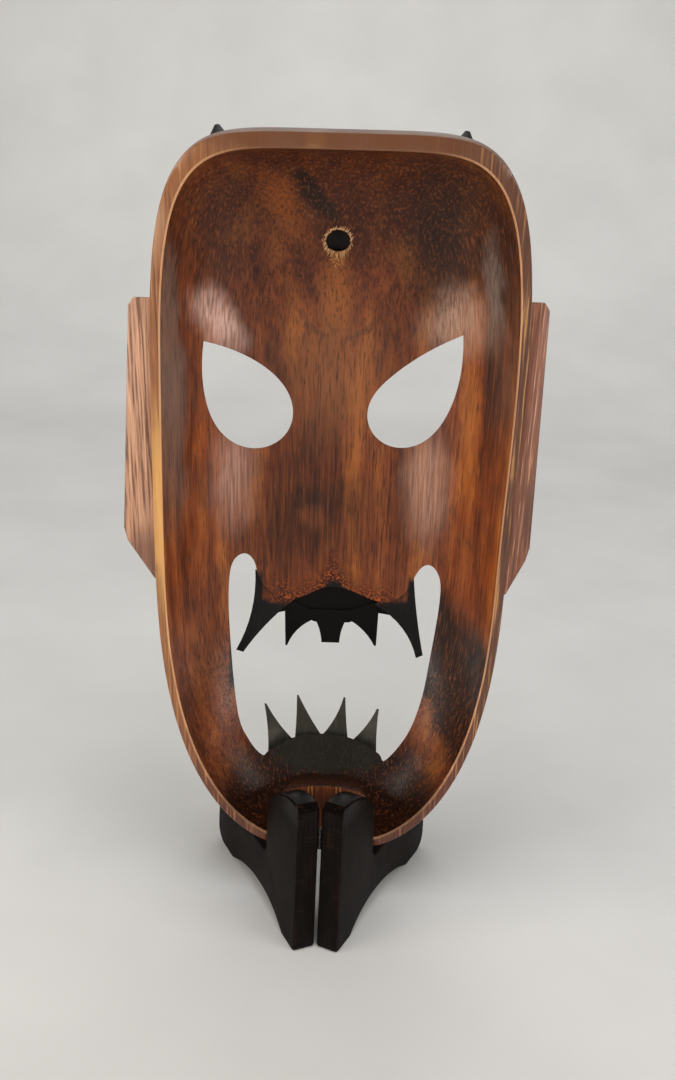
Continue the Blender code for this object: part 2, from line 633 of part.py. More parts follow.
def main():
    remove_everything()
    place = collection("carved_demon_mask")
    tools = collection("cutters")
    wood = material("oiled_rosewood", (0.20, 0.062, 0.028), 0.45)
    black = material("black_stained_wood", (0.018, 0.015, 0.013), 0.5)
    steel = material("blackened_steel", (0.05, 0.048, 0.045), 0.45, 1.0)
    mask = make_mask(place, tools, wood)
    frame = mask_frame(place)
    for item in list(place.objects) + list(tools.objects):
        if item.type == "MESH":
            item.parent = frame
    roll = Matrix.Rotation(ROLL, 4, "Y")
    for item in list(place.objects) + list(tools.objects):
        if item.type == "MESH":
            item.data.transform(roll)
    mask.data.update()
    low = HINGE_CENTRE_HEIGHT - HINGE_HEIGHT / 2
    high = HINGE_CENTRE_HEIGHT + HINGE_HEIGHT / 2
    middle = (HINGE_CENTRE_HEIGHT - MIDDLE_KNUCKLE / 2, HINGE_CENTRE_HEIGHT + MIDDLE_KNUCKLE / 2)
    ends = ((low, middle[0] - KNUCKLE_GAP), (middle[1] + KNUCKLE_GAP, high))
    for name, side, knuckles in (("left", 1, ends), ("right", -1, (middle,))):
        axis = hinge_empty(side, place)
        leaf("stand_leaf_" + name, side, place, black, axis)
        hinge_plate("hinge_plate_" + name, side, knuckles, side > 0, place, tools, steel, axis)
    stand_on_origin(place)


if __name__ == "__main__":
    main()
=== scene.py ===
"""The carved demon mask in its folding stand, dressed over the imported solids.

Metres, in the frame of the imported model: +X is the left of someone who looks into the hollow back, -Y is
where the carved face looks, and the origin is on the ground under the middle of the whole object.
"""

import logging
import math
from collections.abc import Callable, Sequence
from dataclasses import dataclass
from enum import Enum

import bpy
import numpy as np
from mathutils import Matrix, Vector

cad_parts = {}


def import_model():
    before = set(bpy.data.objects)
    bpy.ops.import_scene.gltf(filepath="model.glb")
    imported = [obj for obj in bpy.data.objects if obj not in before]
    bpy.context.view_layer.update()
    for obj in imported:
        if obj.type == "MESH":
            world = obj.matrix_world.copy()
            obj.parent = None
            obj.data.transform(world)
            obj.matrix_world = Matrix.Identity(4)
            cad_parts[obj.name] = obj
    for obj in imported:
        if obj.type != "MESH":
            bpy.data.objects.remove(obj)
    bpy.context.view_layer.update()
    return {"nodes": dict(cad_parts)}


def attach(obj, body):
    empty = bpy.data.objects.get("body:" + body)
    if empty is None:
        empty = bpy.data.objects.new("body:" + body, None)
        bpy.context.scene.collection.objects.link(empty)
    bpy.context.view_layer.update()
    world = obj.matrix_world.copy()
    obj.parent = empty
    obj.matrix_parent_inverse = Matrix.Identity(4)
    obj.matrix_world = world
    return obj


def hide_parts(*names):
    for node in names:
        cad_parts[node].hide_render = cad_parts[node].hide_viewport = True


LOG = logging.getLogger("carved_demon_mask")
MM = 0.001
MASK_BODY = "mask_and_left_leaf"
RIGHT_BODY = "right_leaf"

Point = tuple[float, float]
Triple = tuple[float, float, float]
Piece = bpy.types.Object
Socket = bpy.types.NodeSocket
Material = bpy.types.Material


def smoothstep(low: float, high: float, value: np.ndarray) -> np.ndarray:
    """Eases from 0 at low to 1 at high.

    Args:
        low: Where the ease starts.
        high: Where it ends.
        value: What is eased.

    Returns:
        The eased shares.
    """
    share = np.clip((value - low) / (high - low), 0.0, 1.0)
    return share * share * (3 - 2 * share)


def linear(hex_colour: str) -> tuple[float, float, float, float]:
    """Turns an sRGB hex colour into the linear colour that sockets take.

    Args:
        hex_colour: Six hex digits, with or without a leading hash sign.

    Returns:
        Linear red, green, blue and an alpha of 1.
    """
    digits = hex_colour.lstrip("#")
    parts = [int(digits[i:i + 2], 16) / 255 for i in (0, 2, 4)]
    red, green, blue = (c / 12.92 if c <= 0.04045 else ((c + 0.055) / 1.055) ** 2.4 for c in parts)
    return red, green, blue, 1.0


class Bench:
    """Hand work that every piece needs: selecting, drawing outlines, joining and finishing."""

    @staticmethod
    def clear() -> None:
        """Leaves edit mode and deselects everything."""
        if bpy.context.object and bpy.context.object.mode != "OBJECT":
            bpy.ops.object.mode_set(mode="OBJECT")
        bpy.ops.object.select_all(action="DESELECT")

    @staticmethod
    def activate(piece: Piece) -> None:
        """Makes the piece the only selected one, and active."""
        Bench.clear()
        piece.select_set(True)
        bpy.context.view_layer.objects.active = piece

    @staticmethod
    def edit(piece: Piece, mode: str = "FACE") -> None:
        """Goes into edit mode on the piece with nothing selected."""
        Bench.activate(piece)
        bpy.ops.object.mode_set(mode="EDIT")
        bpy.ops.mesh.select_mode(type=mode)
        bpy.ops.mesh.select_all(action="DESELECT")

    @staticmethod
    def pick_points(piece: Piece, wanted: Callable[[Vector], bool]) -> None:
        """Selects points by place, and leaves the piece in edit mode.

        Args:
            piece: The piece.
            wanted: Says whether a point is chosen.
        """
        Bench.edit(piece, "VERT")
        bpy.ops.object.mode_set(mode="OBJECT")
        for vert in piece.data.vertices:
            vert.select = wanted(vert.co)
        bpy.ops.object.mode_set(mode="EDIT")

    @staticmethod
    def draw(name: str, points: Sequence[Point]) -> Piece:
        """Draws a closed outline in the plane y = 0, point after point, and fills it with one face.

        Args:
            name: The piece's name.
            points: The outline's x and z, in metres.

        Returns:
            The piece, left in edit mode with its face selected.
        """
        Bench.clear()
        bpy.ops.mesh.primitive_plane_add(size=0.001)
        piece = bpy.context.object
        piece.name = name
        bpy.ops.object.mode_set(mode="EDIT")
        bpy.ops.mesh.select_mode(type="VERT")
        bpy.ops.mesh.select_all(action="SELECT")
        bpy.ops.mesh.merge(type="CENTER")
        bpy.ops.transform.translate(value=(points[0][0], 0, points[0][1]))
        for (x, z), (next_x, next_z) in zip(points, points[1:]):
            bpy.ops.mesh.extrude_vertices_move(TRANSFORM_OT_translate={"value": (next_x - x, 0, next_z - z)})
        bpy.ops.mesh.select_all(action="SELECT")
        bpy.ops.mesh.edge_face_add()
        bpy.ops.mesh.select_mode(type="FACE")
        bpy.ops.mesh.select_all(action="SELECT")
        return piece

    @staticmethod
    def pull(x: float, y: float, z: float) -> None:
        """Extrudes the selected faces by a distance."""
        bpy.ops.mesh.extrude_region_move(TRANSFORM_OT_translate={"value": (x, y, z)})

    @staticmethod
    def close_solid() -> None:
        """Turns the edited piece's faces outwards and leaves edit mode."""
        bpy.ops.mesh.select_all(action="SELECT")
        bpy.ops.mesh.normals_make_consistent(inside=False)
        bpy.ops.object.mode_set(mode="OBJECT")

    @staticmethod
    def apply_all(piece: Piece) -> None:
        """Applies the piece's modifiers in order."""
        Bench.activate(piece)
        for modifier in list(piece.modifiers):
            bpy.ops.object.modifier_apply(modifier=modifier.name)

    @staticmethod
    def ease_edges(piece: Piece, width: float, segments: int = 2, degrees: float = 30.0) -> None:
        """Rounds the piece's edges that are sharper than the angle."""
        bevel = piece.modifiers.new("rubbed_edges", "BEVEL")
        bevel.width = width
        bevel.segments = segments
        bevel.limit_method = "ANGLE"
        bevel.angle_limit = math.radians(degrees)
        Bench.apply_all(piece)

    @staticmethod
    def combine(target: Piece, tool: Piece, operation: str) -> None:
        """Cuts or joins the target with a tool, which is used up.

        Args:
            target: The piece that is worked on.
            tool: The cutter or the added part.
            operation: DIFFERENCE or UNION.
        """
        modifier = target.modifiers.new(tool.name, "BOOLEAN")
        modifier.operation = operation
        modifier.object = tool
        modifier.solver = "MANIFOLD"
        before = len(target.data.vertices)
        Bench.apply_all(target)
        LOG.info("  %s %s: %d to %d points", operation.lower(), tool.name, before, len(target.data.vertices))
        bpy.data.objects.remove(tool)

    @staticmethod
    def bake_place(piece: Piece, place: Matrix) -> None:
        """Puts the piece where it belongs, with its place in its mesh."""
        Bench.activate(piece)
        piece.matrix_world = place
        bpy.ops.object.transform_apply(location=True, rotation=True, scale=True)

    @staticmethod
    def smooth(piece: Piece, degrees: float) -> None:
        """Shades the piece smooth across edges flatter than the angle."""
        Bench.activate(piece)
        bpy.ops.object.shade_smooth_by_angle(angle=math.radians(degrees))


@dataclass(frozen=True)
class MaskPlace:
    """How the mask stands: its frame's origin, and its lean about X and roll about Y, in degrees."""

    location: Triple = (-0.0044985, 0.0081562, 0.0283146)
    lean: float = -8.0
    roll: float = 1.0

    def matrix(self) -> Matrix:
        """The turn and move from the mask's own frame to the model's."""
        lean = Matrix.Rotation(math.radians(self.lean), 4, "X")
        roll = Matrix.Rotation(math.radians(self.roll), 4, "Y")
        return Matrix.Translation(self.location) @ lean @ roll

    def mapping(self) -> dict[str, Sequence[float]]:
        """Mapping values that turn Object coordinates into millimetres in the mask's own frame."""
        back = self.matrix().inverted()
        turn = back.to_3x3()
        move = back.to_translation() / MM
        return {"Location": move, "Rotation": turn.to_euler("XYZ"), "Scale": (1 / MM, 1 / MM, 1 / MM)}


class Finish(Enum):
    """The finishes of the carved wood, in the order of the mask's material slots."""

    HOLLOW = 0
    RIM = 1
    # Pale wear with a painted highlight on the rim's inner edge.
    WORN_AND_HIGHLIT_EDGE = 2
    PAINTED_FRONT = 3
    MOUTH_WALL = 4
    EYE_WALL = 5
    LOWER_TEETH = 6
    EAR_BACK = 7
    HOLE = 8


@dataclass(frozen=True)
class Patch:
    """A soft-edged patch of another colour on the mask, in millimetres across and up it."""

    centre: Point
    radii: Point
    turn: float
    colour: str
    amount: float
    edge: float = 1.0


class FinishTree:
    """A material's tree with the coordinates and patterns that the finishes share."""

    def __init__(self, name: str, mapping: dict[str, Sequence[float]] | None = None) -> None:
        """Starts an empty material, in millimetres in the mask's own frame unless a mapping is given."""
        self.material = bpy.data.materials.new(name)
        self.material.use_nodes = True
        self.tree = self.material.node_tree
        self.shader = self.tree.nodes["Principled BSDF"]
        coordinates = self.add("ShaderNodeTexCoord")
        feeds = {"Vector": coordinates.outputs["Object"], **(mapping or MaskPlace().mapping())}
        self.place = self.add("ShaderNodeMapping", None, feeds).outputs[0]

    def add(self, kind: str, settings: dict | None = None, feeds: dict | None = None,
            stops: Sequence[tuple] = ()) -> bpy.types.Node:
        """Adds a node, sets its properties and fills its sockets.

        Args:
            kind: The node's type.
            settings: Properties by name.
            feeds: A value or a socket for each input, by name or number.
            stops: Places and hex colours of a colour ramp, or points of a curve, the two ends first.

        Returns:
            The new node.
        """
        made = self.tree.nodes.new(kind)
        for key, value in (settings or {}).items():
            setattr(made, key, value)
        self.feed(made, feeds or {})
        for number, (place, value) in enumerate(stops):
            if kind == "ShaderNodeValToRGB":
                elements = made.color_ramp.elements
                element = elements[number] if number < 2 else elements.new(place)
                element.position = place
                element.color = linear(value)
            elif number < 2:
                made.mapping.curves[0].points[number].location = (place, value)
            else:
                made.mapping.curves[0].points.new(place, value)
        return made

    def feed(self, node: bpy.types.Node, feeds: dict) -> None:
        """Links or sets the node's inputs."""
        for key, value in feeds.items():
            if isinstance(value, Socket):
                self.tree.links.new(value, node.inputs[key])
            else:
                node.inputs[key].default_value = value

    def noise(self, size: Triple, detail: float = 2.0, at: Socket | None = None,
              rough: float = 0.55, turn: float = 0.0) -> Socket:
        """Noise whose cells have a real size.

        Args:
            size: The cells' size across, in depth and up the mask, in millimetres.
            detail: Octaves of finer noise.
            at: Coordinates, where they aren't the tree's own.
            rough: How strong the finer octaves are.
            turn: Degrees that the cells are turned about the depth.

        Returns:
            The noise, from 0 to 1.
        """
        scaled = self.add("ShaderNodeMapping", None, {
            "Vector": at or self.place, "Scale": [1 / s for s in size], "Rotation": (0, math.radians(turn), 0)})
        return self.add("ShaderNodeTexNoise", None, {
            "Vector": scaled.outputs[0], "Scale": 1.0, "Detail": detail, "Roughness": rough}).outputs[0]

    def between(self, value: Socket, low: float, high: float, start: float = 0.0,
                end: float = 1.0) -> Socket:
        """Eases a value from start, where it is low, to end, where it is high."""
        return self.add("ShaderNodeMapRange", {"interpolation_type": "SMOOTHSTEP"},
                        {"Value": value, "From Min": low, "From Max": high, "To Min": start,
                         "To Max": end}).outputs[0]

    def times(self, value: Socket, other: Socket | float) -> Socket:
        """Multiplies two values."""
        return self.add("ShaderNodeMath", {"operation": "MULTIPLY"}, {0: value, 1: other}).outputs[0]

    def mix(self, amount: Socket | float, under: Socket | str,
            over: Socket | str, blend: str = "MIX") -> Socket:
        """Lays one colour over another.

        Args:
            amount: How much of the upper colour shows.
            under: The lower colour, as a socket or hex.
            over: The upper colour, as a socket or hex.
            blend: The blend mode.

        Returns:
            The mixed colour.
        """
        lower = linear(under) if isinstance(under, str) else under
        upper = linear(over) if isinstance(over, str) else over
        return self.add("ShaderNodeMix", {"data_type": "RGBA", "blend_type": blend, "clamp_result": True},
                        {0: amount, 6: lower, 7: upper}).outputs[2]

    def wavered(self, reach: float, size: float) -> Socket:
        """The mask's coordinates with a slow waver, so that drawn patches get natural edges."""
        scaled = self.add("ShaderNodeMapping", None, {"Vector": self.place, "Scale": (1 / size,) * 3})
        moved = self.add("ShaderNodeTexNoise", None, {"Vector": scaled.outputs[0], "Scale": 1.0, "Detail": 2.0})
        at = moved.outputs[1]
        for operation, value in (("SUBTRACT", (0.5,) * 3), ("MULTIPLY", (reach, reach, 2 * reach)),
                                 ("ADD", self.place)):
            at = self.add("ShaderNodeVectorMath", {"operation": operation}, {0: at, 1: value}).outputs[0]
        return at

    def patch(self, colour: Socket, patch: Patch, at: Socket,
              broken: Socket | None = None) -> Socket:
        """Lays a soft patch over a colour.

        Args:
            colour: The colour below.
            patch: The patch.
            at: Coordinates it is drawn on.
            broken: A pattern that breaks it up.

        Returns:
            The colour with the patch.
        """
        x, z = patch.centre
        local = self.add("ShaderNodeMapping", {"vector_type": "TEXTURE"},
                         {"Vector": at, "Location": (x, 0, z), "Rotation": (0, math.radians(patch.turn), 0),
                          "Scale": (patch.radii[0], 4000.0, patch.radii[1])})
        ball = self.add("ShaderNodeTexGradient", {"gradient_type": "SPHERICAL"}, {"Vector": local.outputs[0]})
        amount = self.between(ball.outputs[1], 0.0, patch.edge, 0.0, patch.amount)
        if broken is not None:
            amount = self.times(amount, broken)
        return self.mix(amount, colour, patch.colour)

    def bump(self, height: Socket, reach: float, strength: float,
             under: Socket | None = None) -> Socket:
        """Turns a height pattern into a normal, its reach in millimetres."""
        feeds = {"Height": height, "Distance": reach * MM, "Strength": strength}
        if under is not None:
            feeds["Normal"] = under
        return self.add("ShaderNodeBump", None, feeds).outputs[0]

    def finish(self, feeds: dict) -> Material:
        """Fills the shader's sockets and hands the material over."""
        self.feed(self.shader, feeds)
        return self.material


@dataclass(frozen=True)
class HollowRosewood:
    """Oiled tropical hardwood, gouged and scraped hollow: red-brown, dark pores, a handled, satin sheen and
    painted highlights.
    """

    dark: str = "#46200f"
    middle: str = "#7e3f1f"
    light: str = "#ad672e"
    fibre_mm: Triple = (0.9, 0.9, 24.0)
    pore_mm: Triple = (0.5, 0.5, 7.0)
    figure_mm: Triple = (11.0, 11.0, 130.0)
    blotch_mm: float = 26.0
    # Darker and lighter patches of the wood, from the crown with its knot down to the chin, and painted shade.
    patches: tuple[Patch, ...] = (
        # Partly painted shade: the crown darkened where the hollow faces down.
        Patch((0, 296), (66, 52), 0, "#371405", 0.88, 0.7),
        Patch((-46, 276), (34, 46), 0, "#22110b", 0.85, 0.7),
        Patch((50, 278), (24, 44), 0, "#331810", 0.75, 0.8),
        Patch((20, 284), (9, 26), 23, "#8f4b18", 0.60, 0.9),
        Patch((2, 246), (9, 24), 0, "#a5622c", 0.60, 0.9),
        Patch((9, 290), (4.5, 17), 38, "#190b06", 0.97, 0.5),
        Patch((0, 212), (26, 44), 0, "#a2683b", 0.35, 0.9),
        Patch((-10, 234), (2.2, 15), -42, "#3c281e", 0.45, 0.7),
        Patch((12, 236), (2.2, 17), 42, "#3c281e", 0.45, 0.7),
        Patch((64, 225), (7, 90), 0, "#6b584e", 0.75, 0.6),
        Patch((-63, 235), (7, 60), 0, "#30221c", 0.60, 0.6),
        Patch((12, 146), (36, 32), 0, "#3d1b0a", 0.80, 0.9),
        Patch((10, 151), (15, 14), 0, "#351a10", 0.75, 0.8),
        Patch((9, 146), (9, 9), 0, "#7d4423", 0.60, 0.7),
        Patch((-64, 96), (6, 22), 0, "#1c120e", 0.95, 0.7),
        Patch((-69, 140), (9, 20), 0, "#9b4f1d", 0.50, 0.8),
        Patch((56, 76), (13, 50), -8, "#4a2410", 0.65, 0.8),
        Patch((-54, 80), (17, 52), 8, "#1a0b06", 0.95, 0.5),
        # Painted shade: the hollow's floor behind the chin made nearly black.
        Patch((-4, 14), (86, 48), 0, "#1c0d09", 0.97, 0.5),
    )
    # Pale sheens that lie still in the colour and stand for soft light on oiled wood, streaked lengthwise.
    sheens: tuple[Patch, ...] = (
        Patch((46, 238), (10, 22), 24, "#d9b3a5", 0.90, 0.9),
        Patch((-46, 238), (19, 22), -30, "#b9957f", 0.85, 0.9),
        Patch((-59, 255), (5, 30), 8, "#7d6e65", 0.7, 0.8),
        Patch((42, 168), (13, 38), 0, "#b58a78", 0.85, 0.9),
        Patch((-39, 166), (14, 40), 0, "#b8917c", 0.85, 0.9),
        Patch((0, 215), (50, 50), 0, "#a87b5f", 0.15, 0.9),
    )
    # Bare, torn wood round the hanging hole and below it.
    torn: tuple[Patch, ...] = (
        Patch((0.7, 270.4), (5.9, 6.3), 0, "#c99a69", 0.90, 0.10),
        Patch((0.6, 263.9), (3.4, 6.0), 0, "#b27a45", 0.75, 0.40),
    )

    def material(self) -> Material:
        """Builds the finish."""
        t = FinishTree("oiled_rosewood_hollow")
        at = t.wavered(7.0, 16.0)
        figure = t.noise(self.figure_mm, 3.0, at)
        fibres = t.noise(self.fibre_mm, 3.0)
        pores = t.noise(self.pore_mm, 2.0)
        blotch = t.noise((self.blotch_mm,) * 3, 3.0, at)
        colour = t.add("ShaderNodeValToRGB", None, {0: figure},
                       ((0.30, self.dark), (0.70, self.light), (0.50, self.middle))).outputs[0]
        colour = t.mix(t.between(blotch, 0.40, 0.75, 0.0, 0.55), colour, "#3a1c12")
        for patch in self.patches:
            colour = t.patch(colour, patch, at)
        colour = t.mix(t.between(fibres, 0.50, 0.72, 0.0, 0.40), colour, "#96552a")
        colour = t.mix(t.between(fibres, 0.50, 0.30, 0.0, 0.65), colour, "#241009")
        pore_mask = t.between(pores, 0.58, 0.68)
        colour = t.mix(t.times(pore_mask, 0.60), colour, "#1d0e08")
        # Painted highlights: the pale sheens, broken up by lengthwise streaks.
        streaks = t.between(t.noise((0.8, 0.8, 20.0), 4.0), 0.38, 0.60, 0.45, 1.0)
        for patch in self.sheens:
            colour = t.patch(colour, patch, at, streaks)
        splinters = t.between(t.noise((0.45, 0.45, 2.2), 2.0), 0.45, 0.56)
        for patch in self.torn:
            colour = t.patch(colour, patch, t.wavered(1.6, 1.5), splinters)
        colour = self.stained(t, colour)
        rough = t.between(blotch, 0.3, 0.7, 0.34, 0.50)
        uneven = t.bump(t.noise((9.0, 9.0, 16.0), 1.0), 0.5, 0.5)
        normal = t.bump(fibres, 0.16, 0.5, uneven)
        normal = t.bump(t.times(pore_mask, -1.0), 0.15, 0.5, normal)
        return t.finish({"Base Color": colour, "Roughness": rough, "Normal": normal, "IOR": 1.5,
                         "Specular IOR Level": 0.32})

    def stained(self, t: FinishTree, colour: Socket) -> Socket:
        """Blackens the upper teeth and their recess with stain and painted shade, and stains the lower gum
        charcoal.

        Args:
            t: The tree.
            colour: The wood's colour.

        Returns:
            The stained colour.
        """
        # The stain's upper edge is a wavy line across the gum, highest in the middle.
        speck = t.noise((0.9, 0.9, 0.9), 1.0)
        split = t.add("ShaderNodeSeparateXYZ", None, {0: t.wavered(2.0, 5.0)})
        across, up = split.outputs[0], split.outputs[2]
        share = t.add("ShaderNodeMapRange", None, {"Value": across, "From Min": -45.0, "From Max": 45.0})
        line = t.add("ShaderNodeFloatCurve", None, {"Value": share.outputs[0]},
                     ((0.0, 0.40), (1.0, 0.36), (0.144, 0.40), (0.222, 0.36), (0.344, 0.36), (0.389, 0.42),
                      (0.433, 0.56), (0.493, 0.80), (0.544, 0.58), (0.589, 0.42), (0.656, 0.34),
                      (0.778, 0.32), (0.856, 0.36)))
        height = t.add("ShaderNodeMapRange", None,
                       {"Value": line.outputs[0], "To Min": 95.0, "To Max": 120.0})
        below = t.add("ShaderNodeMath", {"operation": "SUBTRACT"}, {0: height.outputs[0], 1: up}).outputs[0]
        # Above the edge the wood darkens to dark red, painted shade at the recess's edge, with orange specks
        # where the stain only spattered.
        orange = t.times(t.between(below, -17.0, 1.0), t.between(speck, 0.52, 0.60))
        middle = t.times(t.between(across, -34.0, -22.0), t.between(across, 34.0, 22.0))
        high = t.between(up, 64.0, 70.0)
        shaded_fringe = t.times(t.between(below, -15.0, 0.0, 0.0, 0.8), middle)
        colour = t.mix(t.times(shaded_fringe, high), colour, "#30110a")
        colour = t.mix(t.times(t.times(t.times(orange, middle), high), 0.85), colour, "#b4551c")
        # Below it everything between the mouth's lobes is black: black stain and painted shade in the recess
        # behind the lip.
        within = t.times(t.times(t.between(across, -46.0, -44.5), t.between(across, 46.0, 44.5)), high)
        black = t.times(t.between(below, -1.0, 2.5), within)
        colour = t.mix(black, colour, "#060403")
        # The outer sides of the two fangs are black up to the lobes.
        lobes = t.times(t.between(up, 121.0, 116.0), within)
        outer = t.add("ShaderNodeMath", {"operation": "MAXIMUM"},
                      {0: t.between(across, 30.4, 31.8), 1: t.between(across, -33.6, -35.0)}).outputs[0]
        colour = t.mix(t.times(outer, lobes), colour, "#060403")
        # The lower gum is charcoal grey, stain that is partly painted light where it faces up, only on the
        # hollow's floor and not on the chin block.
        gum = Patch((0.5, 36), (37, 22), 0, "#23221e", 0.95, 0.45)
        deep = t.between(split.outputs[1], -23.0, -27.0)
        return t.patch(colour, gum, t.wavered(5.0, 9.0), deep)


@dataclass(frozen=True)
class RimRosewood:
    """The same hardwood, rubbed by hands and streaked lengthwise, golden on the left and browner on the right
    as painted light.
    """

    name: str = "rubbed_rosewood_rim"
    left: str = "#83522f"
    right: str = "#53301e"
    streak: str = "#c39056"
    groove: str = "#31190e"
    worn: float = 0.0
    # Golden patches on the left edge and the crown, and a darker top.
    patches: tuple[Patch, ...] = (
        Patch((67, 170), (6, 60), 0, "#e0ab62", 0.6, 0.7),
        Patch((8, 312), (5, 5), 0, "#d2a465", 0.8, 0.5),
        Patch((17, 313), (6, 5), 0, "#75655a", 0.7, 0.5),
        Patch((0, 313), (62, 6), 0, "#57301b", 0.80, 0.6),
        Patch((68, 290), (10, 30), 0, "#c29e80", 0.6, 0.8),
    )

    def material(self) -> Material:
        """Builds the finish."""
        t = FinishTree(self.name)
        at = t.wavered(4.0, 12.0)
        split = t.add("ShaderNodeSeparateXYZ", None, {0: at})
        # Painted light: lighter on the left, darker on the right.
        across = t.between(split.outputs[0], -62.0, 60.0)
        colour = t.mix(across, self.right, self.left)
        # Painted shade: the rim darkens towards the chin, where it sits in the stand.
        low = t.between(split.outputs[2], 95.0, 20.0, 0.0, 0.85)
        colour = t.mix(low, colour, "#5c2a19")
        streaks = t.noise((0.9, 0.9, 30.0), 3.0)
        sides = t.between(split.outputs[2], 300.0, 270.0, 0.55, 1.0)
        colour = t.mix(t.times(t.between(streaks, 0.52, 0.70, 0.0, 0.60), sides), colour, self.streak)
        colour = t.mix(t.times(t.between(streaks, 0.50, 0.32, 0.0, 0.75), sides), colour, self.groove)
        for patch in self.patches:
            colour = t.patch(colour, patch, at)
        # On the inner edge's copy, a pale wash of wear and painted highlight.
        colour = t.mix(self.worn, colour, "#e2b48a")
        colour = t.patch(colour, Patch((0, 316), (64, 24), 0, "#5f3a22", 0.70, 0.5), at)
        blotch = t.noise((14.0, 14.0, 20.0), 2.0)
        normal = t.bump(streaks, 0.16, 0.4, t.bump(blotch, 0.4, 0.4))
        return t.finish({"Base Color": colour, "Roughness": t.between(blotch, 0.3, 0.7, 0.30, 0.46),
                         "Normal": normal, "IOR": 1.5, "Coat Weight": 0.2, "Coat Roughness": 0.25})


@dataclass(frozen=True)
class EarRosewood:
    """Sawn and sanded backs of the ears: dry, pinkish brown, with plain upright grain."""

    # Stain that crept round from the front at the lower corners and along the right ear's root.
    patches: tuple[Patch, ...] = (
        Patch((-78, 175), (7, 26), 0, "#4c2a1c", 0.7, 0.8),
        Patch((74, 150), (12, 20), 0, "#5a3526", 0.7, 0.8),
        Patch((-71, 215), (3, 60), 0, "#5c2f1c", 0.7, 0.7),
        Patch((80, 252), (8, 6), 0, "#6b4632", 0.6, 0.7),
    )

    def material(self) -> Material:
        """Builds the finish."""
        t = FinishTree("sanded_rosewood_ear_backs")
        at = t.wavered(3.0, 14.0)
        split = t.add("ShaderNodeSeparateXYZ", None, {0: at})
        # Painted light: the left ear paler and the right ear darker.
        colour = t.mix(t.between(split.outputs[0], -60.0, 60.0), "#74452f", "#ab7e61")
        grain = t.noise((0.7, 0.7, 26.0), 3.0)
        colour = t.mix(t.between(grain, 0.52, 0.36, 0.0, 0.85), colour, "#4a281a")
        colour = t.mix(t.between(grain, 0.54, 0.68, 0.0, 0.55), colour, "#d0a484")
        for patch in self.patches:
            colour = t.patch(colour, patch, at)
        normal = t.bump(grain, 0.14, 0.5, t.bump(t.noise((6.0, 6.0, 12.0), 1.0), 0.3, 0.4))
        return t.finish({"Base Color": colour, "Roughness": 0.46, "Normal": normal, "IOR": 1.5,
                         "Coat Weight": 0.12, "Coat Roughness": 0.3})


@dataclass(frozen=True)
class BlackLacquer:
    """Black stain and lacquer over carved wood: deep, satin, knife facets, and brown rubbed through."""

    name: str = "black_lacquered_carving"
    base: str = "#0b0908"
    worn: str = "#2b1c14"
    rough: float = 0.42
    worn_amount: float = 0.6
    specular: float = 0.4

    def material(self) -> Material:
        """Builds the finish."""
        t = FinishTree(self.name)
        grain = t.noise((0.9, 0.9, 14.0), 2.0)
        cloud = t.noise((18.0, 18.0, 18.0), 3.0)
        colour = t.mix(t.between(cloud, 0.45, 0.75, 0.0, self.worn_amount), self.base, self.worn)
        colour = t.mix(t.between(grain, 0.55, 0.72, 0.0, 0.4), colour, self.worn)
        cells = t.add("ShaderNodeMapping", None, {"Vector": t.place, "Scale": (1 / 5, 1 / 5, 1 / 7)})
        facets = t.add("ShaderNodeTexVoronoi", {"feature": "SMOOTH_F1"},
                       {"Vector": cells.outputs[0], "Scale": 1.0, "Smoothness": 0.4})
        normal = t.bump(grain, 0.12, 0.4, t.bump(facets.outputs[0], 0.5, 0.35))
        return t.finish({"Base Color": colour, "Roughness": self.rough, "Normal": normal, "IOR": 1.5,
                         "Specular IOR Level": self.specular})


@dataclass(frozen=True)
class StandWood:
    """Softer wood stained black and waxed: saw marks, brown where the stain is thin, and glossy on top."""

    def material(self) -> Material:
        """Builds the finish."""
        t = FinishTree("black_stained_stand_wood", {"Scale": (1 / MM,) * 3})
        saw = t.noise((7, 7, 0.8), 2.0, rough=0.5, turn=24)
        grain = t.noise((0.8, 0.8, 16), 3.0, rough=0.5)
        colour = t.mix(t.between(grain, 0.50, 0.72, 0.0, 0.8), "#060302", "#1e1009")
        colour = t.mix(t.between(saw, 0.60, 0.70, 0.0, 0.35), colour, "#2a1c14")
        up = t.add("ShaderNodeSeparateXYZ", None, {0: t.place}).outputs[2]
        normal = t.bump(grain, 0.18, 0.5, t.bump(saw, 0.1, 0.4))
        return t.finish({"Base Color": colour, "Roughness": t.between(up, 60.0, 71.0, 0.60, 0.26),
                         "Normal": normal, "IOR": 1.5, "Specular IOR Level": 0.08})


@dataclass(frozen=True)
class BlackenedSteel:
    """Pressed steel with a dark oxide, rubbed bright in small spots: a dull, cool gleam."""

    def material(self) -> Material:
        """Builds the finish."""
        t = FinishTree("blackened_steel_hinge", {"Scale": (1 / MM,) * 3})
        spots = t.noise((1.5,) * 3, 4.0, rough=0.5)
        colour = t.add("ShaderNodeValToRGB", None, {0: spots},
                       ((0.45, "#4a4744"), (0.72, "#8e8a84"))).outputs[0]
        rough = t.add("ShaderNodeMapRange", None, {"Value": spots, "To Min": 0.55, "To Max": 0.32}).outputs[0]
        return t.finish({"Base Color": colour, "Roughness": rough, "Metallic": 1.0})


@dataclass(frozen=True)
class StudioPaint:
    """Matt, pale painted floor with a faint mottle."""

    def material(self) -> Material:
        """Builds the finish."""
        t = FinishTree("matt_pale_floor_paint", {"Scale": (1.0,) * 3})
        mottle = t.noise((1 / 9,) * 3, 3.0, rough=0.5)
        colour = t.add("ShaderNodeValToRGB", None, {0: mottle},
                       ((0.35, "#c9c9c7"), (0.70, "#d0d0ce"))).outputs[0]
        return t.finish({"Base Color": colour, "Roughness": 0.85})


